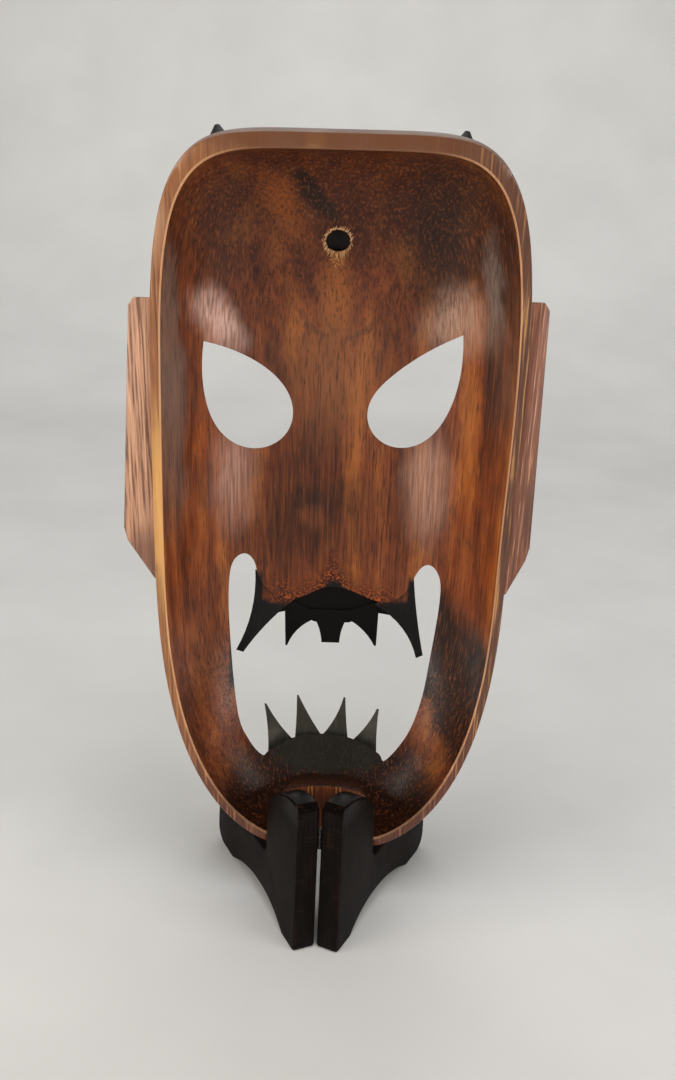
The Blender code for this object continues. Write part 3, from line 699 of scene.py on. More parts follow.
def wood_finishes() -> list[Material]:
    """The mask's materials, in the order of the Finish choices."""
    lacquer = BlackLacquer().material()
    return [
        HollowRosewood().material(),
        RimRosewood().material(),
        # The rim's inner edge: pale wear with a painted highlight along it.
        RimRosewood("worn_and_highlit_rosewood_edge", "#bd8758", "#a2704e", "#ddb083", "#7d4a2c", 0.30).material(),
        lacquer,
        BlackLacquer("black_stained_mouth_walls", "#050403", "#140d08", 0.70, 0.5, 0.2).material(),
        BlackLacquer("scraped_grey_eye_walls", "#5b5147", "#7a6c5d", 0.50, 0.8).material(),
        # Lower teeth: charcoal stain, paler than the upper teeth's black partly as painted light, as they face
        # up.
        BlackLacquer("charcoal_stained_lit_lower_teeth", "#35342e", "#5c5850", 0.58, 0.8, 0.35).material(),
        EarRosewood().material(),
        BlackLacquer("dark_drilled_hole", "#0c0604", "#2a140a", 0.7, 0.6).material(),
    ]


@dataclass(frozen=True)
class Tooth:
    """One tooth on the rim's plane, in millimetres: its corners from the left root on, and its bows."""

    name: str
    root_left: Point
    tip_left: Point
    tip_right: Point
    root_right: Point
    bow_left: float
    bow_right: float

    @staticmethod
    def side(start: Point, end: Point, bow: float, steps: int = 8) -> list[Point]:
        """Points from the start to just before the end, along a curve that bows to its right."""
        length = max(math.dist(start, end), 1e-9)
        across = ((end[1] - start[1]) / length, -(end[0] - start[0]) / length)
        made = []
        for i in range(steps):
            s = i / steps
            swell = bow * 4 * s * (1 - s)
            made.append((start[0] + (end[0] - start[0]) * s + across[0] * swell,
                         start[1] + (end[1] - start[1]) * s + across[1] * swell))
        return made

    def outline(self) -> list[Point]:
        """The tooth's whole outline in metres."""
        points = self.side(self.root_left, self.tip_left, self.bow_left) + [self.tip_left]
        points += self.side(self.tip_right, self.root_right, self.bow_right) + [self.root_right]
        return [(x * MM, z * MM) for x, z in points]


@dataclass(frozen=True)
class Ear:
    """One ear: the heights and reaches of its outline, and how far its back sits before the rim's plane."""

    side: int
    top: float
    root_top: float
    top_reach: float
    corner_reach: float
    corner: float
    bottom: float
    set_back: float
    root_bottom: float = 0.0695
    bottom_reach: float = 0.0714
    lean: float = 0.0045
    depth: float = 0.026
    tip_depth: float = 0.013
    droop: float = 0.50

    def build(self) -> Piece:
        """Builds the ear as a flange that thins to its edge and droops to the front.

        Returns:
            The ear in the mask's own frame.
        """
        outline = [(self.root_top, self.top), (self.top_reach - 0.002, self.top),
                   (self.top_reach, self.top - 0.003), (self.corner_reach, self.corner + 0.006),
                   (self.corner_reach - 0.0012, self.corner), (self.bottom_reach, self.bottom),
                   (self.root_bottom, self.bottom)]
        piece = Bench.draw(f"ear_{self.side}", [(self.side * x, z) for x, z in outline])
        bpy.ops.transform.translate(value=(0, -self.set_back, 0))
        Bench.pull(0, -0.05, 0)
        bpy.ops.object.mode_set(mode="OBJECT")
        for vert in piece.data.vertices:
            if vert.co.y < -0.04:
                reach = self.side * vert.co.x
                share = max(reach - self.root_bottom, 0) / (self.corner_reach - self.root_bottom)
                depth = self.depth + (self.tip_depth - self.depth) * share
                x = self.side * (reach - self.lean * (1 - share))
                vert.co = (x, -depth, vert.co.z - self.droop * depth)
        bpy.ops.object.mode_set(mode="EDIT")
        Bench.close_solid()
        Bench.ease_edges(piece, 0.0007)
        return piece


@dataclass(frozen=True)
class MaskShape:
    """The mask's shell: a superelliptic outline about its widest height, a hollow back and a carved front."""

    top: float = 0.3155
    half_width: float = 0.0708
    widest: float = 0.139
    top_exponent: float = 5.7
    crown_taper: float = 0.015
    crown_shift: float = -0.0015
    chin_reach: float = 0.1418
    chin_exponent: float = 2.43
    chin_flat: float = 0.0015
    chin_flat_ease: float = 0.001
    rim_side: float = 0.0038
    rim_top: float = 0.0058
    rim_chin: float = 0.0048
    rim_edge_depth: float = 0.007
    hollow: float = 0.048
    chin_hollow: float = 0.031
    chin_hollow_top: float = 0.095
    chin_hollow_bottom: float = 0.045
    wall: float = 0.0085
    # Nose tip, nostrils and cheeks: centre, size and height.
    swellings: tuple[tuple[Point, Point, float], ...] = (
        ((0, 0.151), (0.015, 0.011), 0.011),
        ((0.021, 0.148), (0.010, 0.009), 0.010),
        ((0.047, 0.165), (0.014, 0.017), 0.008),
    )
    # Nose, brow, temple, lip, mouth fold, chin and forehead: start, end, radii and heights.
    ridges: tuple[tuple[Point, Point, Point, Point], ...] = (
        ((0, 0.210), (0, 0.160), (0.010, 0.014), (0.007, 0.019)),
        ((0.010, 0.215), (0.032, 0.239), (0.010, 0.011), (0.007, 0.010)),
        ((0.034, 0.240), (0.058, 0.247), (0.010, 0.008), (0.007, 0.004)),
        ((0.000, 0.122), (0.030, 0.132), (0.008, 0.008), (0.007, 0.006)),
        ((0.032, 0.132), (0.054, 0.108), (0.008, 0.008), (0.006, 0.005)),
        ((0.0, 0.014), (0.026, 0.026), (0.010, 0.010), (0.009, 0.006)),
        ((0.0, 0.263), (0.036, 0.271), (0.008, 0.007), (0.003, 0.002)),
    )

    def outline_scale(self, across: np.ndarray, up: np.ndarray) -> np.ndarray:
        """How far the outline reaches past the unit circle in each point's direction."""
        angle = np.arctan2(up, across)
        exponent = np.where(up > 0, self.top_exponent, self.chin_exponent)
        return (np.abs(np.cos(angle)) ** exponent + np.abs(np.sin(angle)) ** exponent) ** (-1 / exponent)

    def on_face(self, across: np.ndarray, up: np.ndarray, inset: float) -> tuple[np.ndarray, np.ndarray]:
        """Places disc points on the mask's face.

        Args:
            across: The disc points' x.
            up: Their y.
            inset: 0 puts the disc's edge on the outline, 1 on the rim's inner edge.

        Returns:
            x and z in the mask's own frame.
        """
        scale = self.outline_scale(across, up)
        half_width = self.half_width - self.rim_side * inset
        upper = self.top - self.widest - self.rim_top * inset
        lower = self.chin_reach - self.rim_chin * inset
        above = self.widest + np.where(up > 0, upper, lower) * up * scale
        above = above - self.chin_flat - self.rim_chin * inset
        eased = (above + np.hypot(above, self.chin_flat_ease)) / 2
        share = np.clip(up * scale, 0, 1)
        x = half_width * across * scale * (1 - self.crown_taper * share)
        x += self.crown_shift * smoothstep(0, 0.6, share)
        return x, self.chin_flat + self.rim_chin * inset + eased

    def hollow_depth(self, across: np.ndarray, up: np.ndarray, height: np.ndarray) -> np.ndarray:
        """Depth of the hollow behind the rim's plane, shallower behind the chin."""
        radius = np.clip(np.hypot(across, up), 0, 1)
        steepness = 3.6 + 4.4 * smoothstep(-0.3, -0.9, up) - 0.8 * smoothstep(0.4, 0.95, up)
        deeper = smoothstep(self.chin_hollow_bottom, self.chin_hollow_top, height)
        floor = self.chin_hollow + (self.hollow - self.chin_hollow) * deeper
        return floor * np.clip(1 - radius ** steepness, 0, 1) ** 0.6

    @staticmethod
    def bump(x: np.ndarray, z: np.ndarray, centre: Point, size: Point, height: float) -> np.ndarray:
        """A round swelling."""
        return height * np.exp(-((x - centre[0]) / size[0]) ** 2 - ((z - centre[1]) / size[1]) ** 2)

    @staticmethod
    def ridge(x: np.ndarray, z: np.ndarray, start: Point, end: Point, radius: Point,
              height: Point) -> np.ndarray:
        """A round ridge between two points, each end with a radius and a height of its own."""
        (x0, z0), (x1, z1) = start, end
        run, rise = x1 - x0, z1 - z0
        share = np.clip(((x - x0) * run + (z - z0) * rise) / (run ** 2 + rise ** 2), 0, 1)
        distance = np.hypot(x - x0 - share * run, z - z0 - share * rise)
        size = radius[0] + share * (radius[1] - radius[0])
        return (height[0] + share * (height[1] - height[0])) * np.exp(-(distance / size) ** 2)

    def relief(self, x: np.ndarray, z: np.ndarray) -> np.ndarray:
        """How far the carved front stands proud of a plain shell, with its furrows and folds."""
        side = np.abs(x)
        made = np.zeros_like(x)
        for centre, size, height in self.swellings:
            made += self.bump(side, z, centre, size, height)
        for start, end, radius, height in self.ridges:
            made += self.ridge(side, z, start, end, radius, height)
        for number in range(3):
            low = 0.2805 + 0.008 * number
            made += self.ridge(side, z, (0.0, low), (0.034, low + 0.005), (0.0016, 0.0012), (0.0010, 0.0005))
            out = 0.040 + 0.0065 * number
            made -= self.ridge(side, z, (out, 0.196), (out + 0.006, 0.182 - 0.004 * number), (0.0013, 0.001),
                               (0.0011, 0.0006))
        made -= self.ridge(side, z, (0.017, 0.158), (0.033, 0.140), (0.0016, 0.0013), (0.0016, 0.0008))
        return made

    def front_depth(self, across: np.ndarray, up: np.ndarray, x: np.ndarray, z: np.ndarray) -> np.ndarray:
        """Depth of the carved front behind the rim's plane."""
        fade = 1 - np.clip(np.hypot(across, up), 0, 1) ** 6
        wall = self.rim_edge_depth + (self.wall - self.rim_edge_depth) * fade
        return self.hollow_depth(across, up, z) + wall + self.relief(x, z) * fade


@dataclass
class CarvedMask:
    """The mask as one carved solid: shell, rim, openings, teeth, chin block, ears and horns."""

    shape: MaskShape = MaskShape()
    place: MaskPlace = MaskPlace()
    across: int = 110
    up: int = 180
    crowding: float = 1.5
    flare_point: Triple = (-0.0065, 0.4219, 0.3841)
    cut_behind: float = 0.004
    flare_end: float = 0.064
    cut_on: float = 0.045
    gum_depths: Point = (0.050, 0.061)
    outer_tooth_depths: Point = (0.0478, 0.0618)
    inner_tooth_depths: Point = (0.0494, 0.0626)
    lower_tooth_depths: Point = (0.031, 0.041)
    rings: tuple[tuple[float, float, Finish], ...] = (
        # The two inner-edge rings carry pale wear and a painted highlight.
        (0.92, 0.0003, Finish.WORN_AND_HIGHLIT_EDGE),
        (0.86, 0.0, Finish.WORN_AND_HIGHLIT_EDGE),
        (0.12, 0.0, Finish.RIM),
        (0.03, 0.0004, Finish.RIM),
        (0.0, 0.0012, Finish.RIM),
        (0.0, 0.0070, Finish.RIM),
    )
    eyes: tuple[tuple[float, ...], ...] = (
        (0.0299, 0.2131, 0.0140, 0.0482, 0.2410, 34.0, 30.0),
        (-0.0253, 0.2136, 0.0125, -0.0464, 0.2460, 25.0, 31.0),
    )
    mouth: tuple[Point, ...] = (
        (41.2, 118), (41.0, 140), (39.0, 150), (34.0, 153.5), (30.0, 149), (28.0, 139), (15.0, 131),
        (-1.2, 141), (-20.6, 131), (-31.0, 137), (-34.5, 146), (-38.4, 150.5), (-42.5, 148), (-45.3, 138),
        (-42.5, 106),
        (-40.0, 84.5), (-34.9, 65.8), (-26.0, 51.5), (-22.5, 55.5), (-11.0, 62.8), (1.5, 65), (13.5, 62.8),
        (24.5, 55.5), (28.0, 52.5), (34.0, 61), (38.5, 76),
    )
    upper_gum: tuple[Point, ...] = (
        (29, 144), (12, 137), (-1, 146), (-18, 137), (-32, 144), (-26, 126), (-20, 127), (-8, 122), (6, 122),
        (17, 127), (24, 125),
    )
    upper_teeth: tuple[Tooth, ...] = (
        Tooth("outer_left", (30.2, 146), (38.6, 107), (35.6, 106), (14.3, 132.5), 2.5, 1.2),
        Tooth("inner_left", (18.3, 133.5), (18.0, 110), (17.3, 110), (2.0, 125), 0.0, 2.7),
        Tooth("middle", (8.5, 128), (3.0, 112), (-4.4, 112), (-9.5, 128), 1.2, 1.2),
        Tooth("inner_right", (-3.0, 126), (-18.9, 111), (-19.7, 111), (-20.3, 133), 2.2, 0.0),
        Tooth("outer_right", (-18.5, 131), (-36.6, 105.5), (-39.4, 107), (-33.6, 146), 3.2, 0.6),
    )
    lower_teeth: tuple[Tooth, ...] = (
        Tooth("lower_outer_left", (25.6, 50), (26.9, 80), (26.0, 80), (11.5, 58), -0.8, -1.2),
        Tooth("lower_inner_left", (14.4, 54), (13.0, 85), (12.3, 85), (1.0, 62), -0.4, -0.5),
        Tooth("lower_inner_right", (3.6, 62), (-6.9, 84.5), (-7.7, 84.5), (-10.3, 54), -1.5, -0.4),
        Tooth("lower_outer_right", (-7.5, 58), (-21.3, 79), (-22.2, 79), (-22.3, 50), -1.5, -0.6),
    )
    ears: tuple[Ear, ...] = (
        Ear(1, 0.2565, 0.0660, 0.0757, 0.0826, 0.1565, 0.1390, 0.0018),
        Ear(-1, 0.2590, 0.0688, 0.0770, 0.0791, 0.1530, 0.1370, 0.0006),
    )
    horn_base: Triple = (0.0435, -0.0370, 0.2920)
    horn_tip: Triple = (0.0466, -0.0455, 0.3096)
    horn_radius: float = 0.0140
    horn_tip_radius: float = 0.0010
    hole: Point = (-0.0002, 0.2788)
    hole_radius: float = 0.0046
    hole_depth: float = 0.0060

    def spread(self, value: np.ndarray) -> np.ndarray:
        """Crowds grid lines towards the edges, where the hollow's wall is steep."""
        return np.sign(value) * (1 - (1 - np.abs(value)) ** self.crowding)

    def shell(self) -> Piece:
        """Makes the shell from two grids joined by the rim's rings.

        Returns:
            The closed shell, its faces already given their finishes.
        """
        Bench.clear()
        bpy.ops.mesh.primitive_grid_add(x_subdivisions=self.across, y_subdivisions=self.up, size=2.0)
        piece = bpy.context.object
        piece.name = "carved_mask"
        Bench.edit(piece, "VERT")
        bpy.ops.mesh.select_non_manifold()
        for _ in self.rings:
            bpy.ops.mesh.extrude_edges_move(TRANSFORM_OT_translate={"value": (0, 0, -1)})
        bpy.ops.mesh.primitive_grid_add(x_subdivisions=self.across, y_subdivisions=self.up, size=2.0,
                                        location=(0, 0, -100))
        bpy.ops.object.mode_set(mode="OBJECT")
        self.carve(piece)
        Bench.edit(piece, "VERT")
        bpy.ops.mesh.select_all(action="SELECT")
        bpy.ops.mesh.remove_doubles(threshold=1e-5)
        Bench.close_solid()
        return piece

    def carve(self, piece: Piece) -> None:
        """Moves the drawn grids and rings to the mask's surfaces.

        Args:
            piece: The flat piece, whose z says which surface a point belongs to.
        """
        mesh = piece.data
        flat = np.empty(len(mesh.vertices) * 3)
        mesh.vertices.foreach_get("co", flat)
        flat = flat.reshape(-1, 3)
        a, b = self.spread(flat[:, 0]), self.spread(flat[:, 1])
        across, up = a * np.sqrt(1 - b * b / 2), b * np.sqrt(1 - a * a / 2)
        level = np.rint(-flat[:, 2]).astype(int)
        faces = np.array([level[list(face.vertices)].max() for face in mesh.polygons])
        finishes = [Finish.HOLLOW.value] + [ring[2].value for ring in self.rings]
        mesh.polygons.foreach_set("material_index", [Finish.PAINTED_FRONT.value if f > 50 else finishes[f]
                                                     for f in faces])
        placed = np.empty_like(flat)
        for number in sorted(set(level)):
            chosen = level == number
            inset = 1.0 if number == 0 else 0.0 if number > 50 else self.rings[number - 1][0]
            x, z = self.shape.on_face(across[chosen], up[chosen], inset)
            if number == 0:
                depth = np.maximum(self.shape.hollow_depth(across[chosen], up[chosen], z), 0.0009)
            elif number > 50:
                depth = self.shape.front_depth(across[chosen], up[chosen], x, z)
            else:
                depth = np.full_like(x, self.rings[number - 1][1])
            placed[chosen] = np.stack((x, -depth, z), axis=1)
        mesh.vertices.foreach_set("co", placed.ravel())
        mesh.update()

    def flared(self, name: str, outline: Sequence[Point], back: float, front: float, finish: Finish,
               straight: float = 0.0) -> Piece:
        """Makes a prism between two depths that widens away from the flare point.

        Args:
            name: The piece's name.
            outline: Its outline on the rim's plane, in metres.
            back: Depth of its back.
            front: Depth of its front.
            finish: The finish of its faces.
            straight: How far its front end goes on without widening.

        Returns:
            The prism in the mask's own frame.
        """
        point = self.flare_point
        piece = Bench.draw(name, outline)
        widen = 1 + back / point[1]
        bpy.ops.transform.resize(value=(widen, 1, widen), center_override=(point[0], 0, point[2]))
        bpy.ops.transform.translate(value=(0, -back, 0))
        Bench.pull(0, back - front, 0)
        wider = (1 + front / point[1]) / widen
        bpy.ops.transform.resize(value=(wider, 1, wider), center_override=(point[0], -front, point[2]))
        if straight:
            Bench.pull(0, -straight, 0)
        Bench.close_solid()
        self.dress(piece, finish)
        return piece

    @staticmethod
    def dress(piece: Piece, finish: Finish) -> None:
        """Gives every face of a tool one finish."""
        for face in piece.data.polygons:
            face.material_index = finish.value

    def eye_outline(self, x: float, z: float, radius: float, point_x: float, point_z: float, nose_fade: float,
                    outer_fade: float, count: int = 72) -> list[Point]:
        """A teardrop: a circle drawn out to a point, more suddenly on its outer side.

        Args:
            x: The round end's centre across.
            z: The round end's centre up.
            radius: The round end's radius.
            point_x: The point across.
            point_z: The point up.
            nose_fade: Degrees over which the point fades on the nose side.
            outer_fade: The same on the outer side.
            count: How many points.

        Returns:
            The outline in metres.
        """
        reach = math.dist((x, z), (point_x, point_z)) / radius - 1
        towards = math.atan2(point_z - z, abs(point_x - x))
        hand = math.copysign(1, point_x - x)
        made = []
        for i in range(count):
            turn = 2 * math.pi * i / count
            away = (turn + math.pi) % (2 * math.pi) - math.pi
            fade = math.radians(nose_fade if away > 0 else outer_fade)
            size = radius * (1 + reach * math.exp(-abs(away) / fade))
            made.append((x + hand * size * math.cos(towards + away), z + size * math.sin(towards + away)))
        return made

    @staticmethod
    def curve_through(points: Sequence[Point], steps: int) -> list[Point]:
        """A smooth closed curve through the points, in metres."""
        made = []
        count = len(points)
        for i in range(count):
            before, here, there, after = (Vector(points[(i + k) % count]) for k in (-1, 0, 1, 2))
            for step in range(steps):
                t = step / steps
                square = 2 * before - 5 * here + 4 * there - after
                cube = 3 * here - before - 3 * there + after
                p = 0.5 * (2 * here + (there - before) * t + square * t * t + cube * t ** 3)
                made.append((p.x * MM, p.y * MM))
        return made

    @staticmethod
    def eased_lobes(points: list[Point], above: float = 0.100, rounds: int = 14) -> list[Point]:
        """Evens out the rounded corners of the mouth, and leaves its sharp lower corners.

        Args:
            points: The outline in metres.
            above: Height over which points are evened out.
            rounds: How many times.

        Returns:
            The eased outline.
        """
        made = np.array(points)
        upper = made[:, 1] > above
        for _ in range(rounds):
            eased = (np.roll(made, 1, 0) + 2 * made + np.roll(made, -1, 0)) / 4
            made[upper] = eased[upper]
        return [tuple(p) for p in made.tolist()]

    def drilled_hole(self) -> Piece:
        """The drill's path for the hanging hole, a little out of round."""
        x, z = self.hole
        up = (z - self.shape.widest) / (self.shape.top - self.shape.widest)
        depth = float(self.shape.hollow_depth(np.array(x / self.shape.half_width), np.array(up), np.array(z)))
        widen = 1 + depth / self.flare_point[1]
        centre = (self.flare_point[0] + (x - self.flare_point[0]) * widen, -depth,
                  self.flare_point[2] + (z - self.flare_point[2]) * widen)
        Bench.clear()
        bpy.ops.mesh.primitive_cylinder_add(vertices=40, radius=self.hole_radius, depth=2 * self.hole_depth,
                                            location=centre, rotation=(math.radians(90), 0, 0))
        piece = bpy.context.object
        piece.name = "hanging_hole"
        bpy.ops.object.transform_apply(location=True, rotation=True, scale=True)
        Bench.pick_points(piece, lambda p: p.x > centre[0] + 0.003)
        bpy.ops.transform.translate(value=(0.0003, 0, -0.0002))
        Bench.close_solid()
        self.dress(piece, Finish.HOLE)
        return piece

    def chin_block(self) -> Piece:
        """The solid block left behind the chin, with an arched top and a back flush with the rim."""
        half, shoulder, height, foot = 0.0205, 0.027, 0.0362, 0.0032
        steps = 16
        turns = [math.pi * i / steps for i in range(steps + 1)]
        rise = height - shoulder
        arch = [(half * math.cos(turn), shoulder + rise * math.sin(turn) ** 0.9) for turn in turns]
        piece = Bench.draw("chin_block", [(-half, foot), (half, foot)] + arch)
        bpy.ops.transform.translate(value=(0, -0.00005, 0))
        Bench.pull(0, -0.027, 0)
        bpy.ops.object.mode_set(mode="OBJECT")
        for vert in piece.data.vertices:
            if vert.co.y < -0.02:
                x, z = vert.co.x, vert.co.z
                lift = 0.0072 if z < shoulder - 0.002 else 0.004 * abs(x) / half - 0.0155
                vert.co = (x * 0.77, vert.co.y, z + lift)
            vert.co.x += 0.0007
        bpy.ops.object.mode_set(mode="EDIT")
        Bench.close_solid()
        for face in piece.data.polygons:
            face.material_index = (Finish.RIM if face.normal.y > 0.9 else Finish.HOLLOW).value
        Bench.ease_edges(piece, 0.0006)
        return piece

    def horn(self, side: int) -> Piece:
        """A small horn that curves up and forward to a blunt point.

        Args:
            side: 1 for the left, -1 for the right.

        Returns:
            The horn in the mask's own frame.
        """
        base = Vector((side * self.horn_base[0], self.horn_base[1], self.horn_base[2]))
        tip = Vector((side * self.horn_tip[0], self.horn_tip[1], self.horn_tip[2]))
        axis = tip - base
        Bench.clear()
        bpy.ops.mesh.primitive_circle_add(vertices=28, radius=self.horn_radius, fill_type="NGON",
                                          location=base, rotation=axis.to_track_quat("Z", "Y").to_euler())
        piece = bpy.context.object
        piece.name = f"horn_{side}"
        bpy.ops.object.transform_apply(location=True, rotation=True, scale=True)
        Bench.edit(piece)
        bpy.ops.mesh.select_all(action="SELECT")
        steps, here, radius = 8, base.copy(), self.horn_radius
        for step in range(1, steps + 1):
            share = step / steps
            there = base + axis * share + Vector((0, 0.0012 * math.sin(math.pi * share), 0))
            grown = self.horn_radius + (self.horn_tip_radius - self.horn_radius) * share ** 0.92
            Bench.pull(*(there - here))
            bpy.ops.transform.resize(value=(grown / radius,) * 3, center_override=there)
            here, radius = there, grown
        Bench.close_solid()
        self.dress(piece, Finish.PAINTED_FRONT)
        return piece

    def build(self) -> Piece:
        """Carves the whole mask, in the order a carver would open and refine it.

        Returns:
            The finished mask in its place.
        """
        mask = self.shell()
        behind = -self.cut_behind
        outline = self.eased_lobes(self.curve_through(self.mouth, 8))
        cutters = [self.flared("mouth", outline, behind, self.flare_end, Finish.MOUTH_WALL, self.cut_on)]
        for number, eye in enumerate(self.eyes):
            outline = self.eye_outline(*eye)
            cutters.append(self.flared(f"eye_{number}", outline, behind, self.flare_end, Finish.EYE_WALL,
                                       self.cut_on))
        cutters.append(self.drilled_hole())
        gum = [(x * MM, z * MM) for x, z in self.upper_gum]
        parts = [self.flared("upper_gum", gum, *self.gum_depths, Finish.MOUTH_WALL)]
        for tooth in self.upper_teeth:
            outer = tooth.name.startswith("outer")
            depths = self.outer_tooth_depths if outer else self.inner_tooth_depths
            parts.append(self.flared(tooth.name, tooth.outline(), *depths, Finish.MOUTH_WALL))
            for face in parts[-1].data.polygons:
                if outer and face.normal.y > 0.9:
                    face.material_index = Finish.HOLLOW.value
        parts.append(self.chin_block())
        for number, tooth in enumerate(self.lower_teeth):
            # Each tooth is set a little deeper than the one before, so that no two faces share a plane.
            back, front = (depth + 0.0004 * (number + 1) for depth in self.lower_tooth_depths)
            parts.append(self.flared(tooth.name, tooth.outline(), back, front, Finish.LOWER_TEETH))
        for ear in self.ears:
            parts.append(ear.build())
            for face in parts[-1].data.polygons:
                face.material_index = (Finish.EAR_BACK if face.normal.y > 0.5 else Finish.PAINTED_FRONT).value
        parts += [self.horn(side) for side in (1, -1)]
        for finish in wood_finishes():
            for piece in [mask] + cutters + parts:
                piece.data.materials.append(finish)
        for cutter in cutters:
            Bench.combine(mask, cutter, "DIFFERENCE")
        for part in parts:
            Bench.combine(mask, part, "UNION")
        Bench.smooth(mask, 38)
        Bench.bake_place(mask, self.place.matrix())
        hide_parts("mask")
        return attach(mask, MASK_BODY)


@dataclass
class StandLeaf:
    """One board of the folding stand: rear upright, seat, front hook and arched foot."""

    side: int = 1
    board: float = 0.010
    half_opening: float = 26.0
    length: float = 0.096
    upright_height: float = 0.073
    upright_depth: float = 0.034
    upright_front: float = 0.046
    seat: float = 0.0295
    hook_height: float = 0.050
    hook_depth: float = 0.012
    arch: float = 0.009
    rear_pad: float = 0.014
    toe_pad_start: float = 0.076
    toe_round: float = 0.008
    heel_round: float = 0.0018
    edge: float = 0.0009
    axis: Point = (-0.0024985, 0.0393787)
    axis_inset: float = 0.0022
    axis_to_face: float = 0.00152

    @staticmethod
    def arc(centre: Point, radius: float, start: float, end: float, steps: int) -> list[Point]:
        """Points along an arc between two angles in degrees."""
        angles = [math.radians(start + (end - start) * i / steps) for i in range(steps + 1)]
        return [(centre[0] + radius * math.cos(a), centre[1] + radius * math.sin(a)) for a in angles]

    def outline(self) -> list[Point]:
        """The board's profile, along its length from the hinge and up from the ground."""
        fall = self.upright_height - self.upright_front
        hook_back = self.length - self.hook_depth
        points = [(self.heel_round * 0.4, self.heel_round * 0.3), (0, self.heel_round),
                  (0, self.upright_height - 0.003), (0.003, self.upright_height)]
        for t in range(15, 91, 5):
            angle = math.radians(t)
            points.append((self.upright_depth * math.sin(angle) ** 0.9,
                           self.upright_front + fall * max(math.cos(angle), 0) ** 0.9))
        points += self.arc((self.upright_depth + 0.004, self.seat + 0.004), 0.004, 180, 270, 8)
        points += self.arc((hook_back - 0.012, self.seat + 0.012), 0.012, 270, 350, 12)
        points += self.arc((self.length - self.hook_depth * 0.45, self.hook_height - self.hook_depth * 0.3),
                           self.hook_depth * 0.32, 160, 20, 10)
        points += self.arc((self.length - self.toe_round, self.toe_round), self.toe_round, 0, -90, 10)
        middle = (self.rear_pad + self.toe_pad_start) / 2
        half = (self.toe_pad_start - self.rear_pad) / 2
        for i in range(21):
            share = 1 - i / 10
            points.append((middle + half * share,
                           self.arch * (1 - abs(share + 0.12 * (1 - share * share)) ** 2.2)))
        points.append((self.heel_round * 1.5, 0))
        return [p for i, p in enumerate(points) if math.dist(p, points[i - 1]) > 1e-5]

    def build(self, name: str, body: str, finish: Material) -> Piece:
        """Saws the board out, rounds its edges and sets it at its hinge.

        Args:
            name: The node it stands for.
            body: The body it rides on.
            finish: Its material.

        Returns:
            The board in its place.
        """
        piece = Bench.draw(name.replace("stand_leaf", "stand_board"), self.outline())
        Bench.pull(0, self.side * self.board, 0)
        Bench.close_solid()
        Bench.ease_edges(piece, self.edge, 3, 60)
        quarter = Matrix.Rotation(math.radians(-90), 4, "Z")
        inset = Matrix.Translation((self.side * self.axis_to_face, self.axis_inset, 0))
        opened = Matrix.Rotation(math.radians(self.side * self.half_opening), 4, "Z")
        at_hinge = Matrix.Translation((self.axis[0], self.axis[1], 0))
        Bench.bake_place(piece, at_hinge @ opened @ inset @ quarter)
        piece.data.materials.append(finish)
        Bench.smooth(piece, 32)
        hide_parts(name)
        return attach(piece, body)


@dataclass
class TornFibres:
    """Splinters that the drill tore out of the wood round the hanging hole."""

    shape: MaskShape = MaskShape()
    count: int = 44
    centre: Point = (0.0003, 0.2709)
    hole_radius: float = 0.0046
    length: float = 0.0026
    seed: int = 5

    def on_floor(self, x: float, z: float) -> Vector:
        """The point of the hollow's floor at a place near its middle line, in the mask's own frame."""
        up = (z - self.shape.widest) / (self.shape.top - self.shape.widest - self.shape.rim_top)
        across = (x - self.shape.crown_shift) / (self.shape.half_width - self.shape.rim_side)
        depth = self.shape.hollow_depth(np.array(across), np.array(up), np.array(z))
        return Vector((x, -float(depth), z))

    def splinter(self) -> Piece:
        """Models one splinter: a thin, bent spike that stands on its root."""
        Bench.clear()
        bpy.ops.mesh.primitive_cone_add(vertices=5, radius1=0.00024, radius2=0.00004, depth=self.length)
        piece = bpy.context.object
        piece.name = "splinter"
        Bench.pick_points(piece, lambda p: p.z > 0)
        bpy.ops.transform.translate(value=(0.0003, 0, 0))
        bpy.ops.object.mode_set(mode="OBJECT")
        return piece

    def build(self, place: MaskPlace) -> Piece:
        """Lays copies of one splinter round the hole, longest below it, along the grain.

        Args:
            place: The mask's place.

        Returns:
            The splinters as one piece.
        """
        chance = np.random.default_rng(self.seed)
        first = self.splinter()
        copies = []
        for number in range(self.count):
            turn = 2 * math.pi * (number + chance.uniform(-0.4, 0.4)) / self.count
            out = self.hole_radius * chance.uniform(0.98, 1.12)
            root = self.on_floor(self.centre[0] + math.cos(turn) * out, self.centre[1] + math.sin(turn) * out)
            along = 0.002 * math.copysign(1, math.sin(turn))
            aside = 0.0012 * math.cos(turn) + chance.uniform(-0.0008, 0.0008)
            axis = (self.on_floor(root.x + aside, root.z + along) - root).normalized()
            below = max(0.0, -math.sin(turn))
            stretch = 0.45 + 0.25 * chance.uniform(0, 1) + 0.9 * below * chance.uniform(0.2, 1.0)
            middle = root + axis * (self.length * stretch / 2) + Vector((0, 0.00025, 0))
            copy = first.copy()
            copy.data = first.data.copy()
            bpy.context.collection.objects.link(copy)
            upright = axis.to_track_quat("Z", "Y").to_matrix().to_4x4()
            stretched = Matrix.Diagonal((1.0, 1.0, stretch, 1.0))
            copy.matrix_world = place.matrix() @ Matrix.Translation(middle) @ upright @ stretched
            copies.append(copy)
        bpy.data.objects.remove(first)
        Bench.clear()
        for copy in copies:
            copy.select_set(True)
        bpy.context.view_layer.objects.active = copies[0]
        bpy.ops.object.join()
        piece = bpy.context.object
        piece.name = "torn_fibres"
        bpy.ops.object.transform_apply(location=True, rotation=True, scale=True)
        Bench.edit(piece)
        Bench.close_solid()
        torn = RimRosewood("torn_pale_rosewood", "#d0a272", "#c79765", "#ecca9f", "#96603a")
        piece.data.materials.append(torn.material())
        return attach(piece, MASK_BODY)


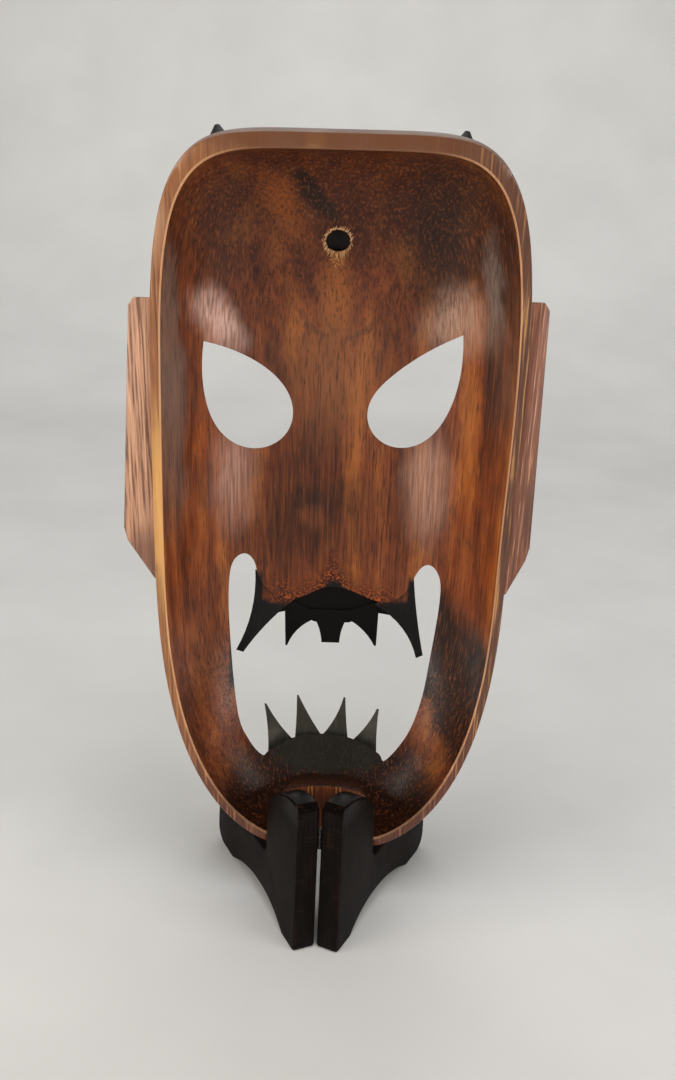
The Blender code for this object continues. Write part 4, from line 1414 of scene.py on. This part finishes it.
@dataclass(frozen=True)
class Studio:
    """Pale floor that curves up behind, soft lights on both sides, and the camera of the photograph."""

    camera_place: Triple = (-0.0042985, 0.4778787, 0.350)
    pitch: float = 20.0
    turn: float = 2.6
    lens: float = 40.0

    def floor(self) -> Piece:
        """The floor, bent up into a backdrop."""
        Bench.clear()
        bpy.ops.mesh.primitive_plane_add(size=6.0, location=(0, 1.6, 0))
        piece = bpy.context.object
        piece.name = "studio_floor"
        bpy.ops.object.transform_apply(location=True, rotation=True, scale=True)
        Bench.pick_points(piece, lambda p: p.y < 0)
        Bench.pull(0, 0, 3.0)
        Bench.pick_points(piece, lambda p: p.y < 0 and p.z < 0.1)
        bpy.ops.mesh.bevel(offset=0.6, segments=16, affect="EDGES")
        bpy.ops.object.mode_set(mode="OBJECT")
        piece.data.materials.append(StudioPaint().material())
        Bench.smooth(piece, 60)
        return piece

    def light(self, name: str, place: Triple, aim: Triple, size: float,
              power: float, colour: str) -> Piece:
        """Adds one square soft light.

        Args:
            name: Its name.
            place: Where it hangs.
            aim: What it points at.
            size: Its side in metres.
            power: Its power in watts.
            colour: Its colour as hex.

        Returns:
            The light.
        """
        bpy.ops.object.light_add(type="AREA", location=place)
        lamp = bpy.context.object
        lamp.name = name
        lamp.data.size = size
        lamp.data.energy = power
        lamp.data.color = linear(colour)[:3]
        lamp.rotation_euler = (Vector(aim) - Vector(place)).to_track_quat("-Z", "Y").to_euler()
        return lamp

    def build(self) -> None:
        """Sets the floor, the lights, the world and the camera."""
        self.floor()
        self.light("window_left", (0.95, 0.60, 0.30), (0, 0, 0.24), 0.7, 11.0, "#fff4ea")
        self.light("window_right", (-0.95, 0.60, 0.30), (0, 0, 0.24), 0.7, 10.0, "#fff8f2")
        self.light("ceiling", (0.0, 0.7, 1.5), (0, 0, 0.15), 0.9, 12.0, "#ffffff").visible_glossy = False
        self.light("backdrop_fill", (0.0, -0.9, 1.6), (0, -1.6, 0.3), 1.2, 8.0, "#ffffff")
        world = bpy.data.worlds.new("pale_room")
        bpy.context.scene.world = world
        world.use_nodes = True
        world.node_tree.nodes["Background"].inputs["Color"].default_value = linear("#f2f2f0")
        world.node_tree.nodes["Background"].inputs["Strength"].default_value = 0.27
        bpy.ops.object.camera_add(location=self.camera_place)
        camera = bpy.context.object
        camera.name = "photograph_camera"
        around, down, turned = (Matrix.Rotation(math.radians(degrees), 3, axis) for degrees, axis in (
            (180, "Z"), (90 - self.pitch, "X"), (self.turn, "Z")))
        camera.rotation_euler = (around @ down @ turned).to_euler()
        camera.data.lens = self.lens
        camera.data.sensor_width = 36.0
        camera.data.sensor_fit = "AUTO"
        camera.data.clip_start = 0.01
        bpy.context.scene.camera = camera
        bpy.context.scene.view_settings.view_transform = "Standard"


def main() -> None:
    """Builds the studio and the pieces in order."""
    logging.basicConfig(level=logging.INFO, format="%(message)s")
    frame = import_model()
    Studio().build()
    LOG.info("studio set")
    mask = CarvedMask().build()
    LOG.info("mask carved: %d faces", len(mask.data.polygons))
    fibres = TornFibres().build(MaskPlace())
    LOG.info("splinters laid: %d faces", len(fibres.data.polygons))
    wood = StandWood().material()
    for side, name, body in ((1, "stand_leaf_left", MASK_BODY), (-1, "stand_leaf_right", RIGHT_BODY)):
        board = StandLeaf(side).build(name, body, wood)
        LOG.info("%s sawn: %d faces", board.name, len(board.data.polygons))
    steel = BlackenedSteel().material()
    for name in ("hinge_plate_left", "hinge_plate_right"):
        plate = frame["nodes"][name]
        plate.data.materials.clear()
        plate.data.materials.append(steel)
        LOG.info("%s blackened", name)


if __name__ == "__main__":
    main()
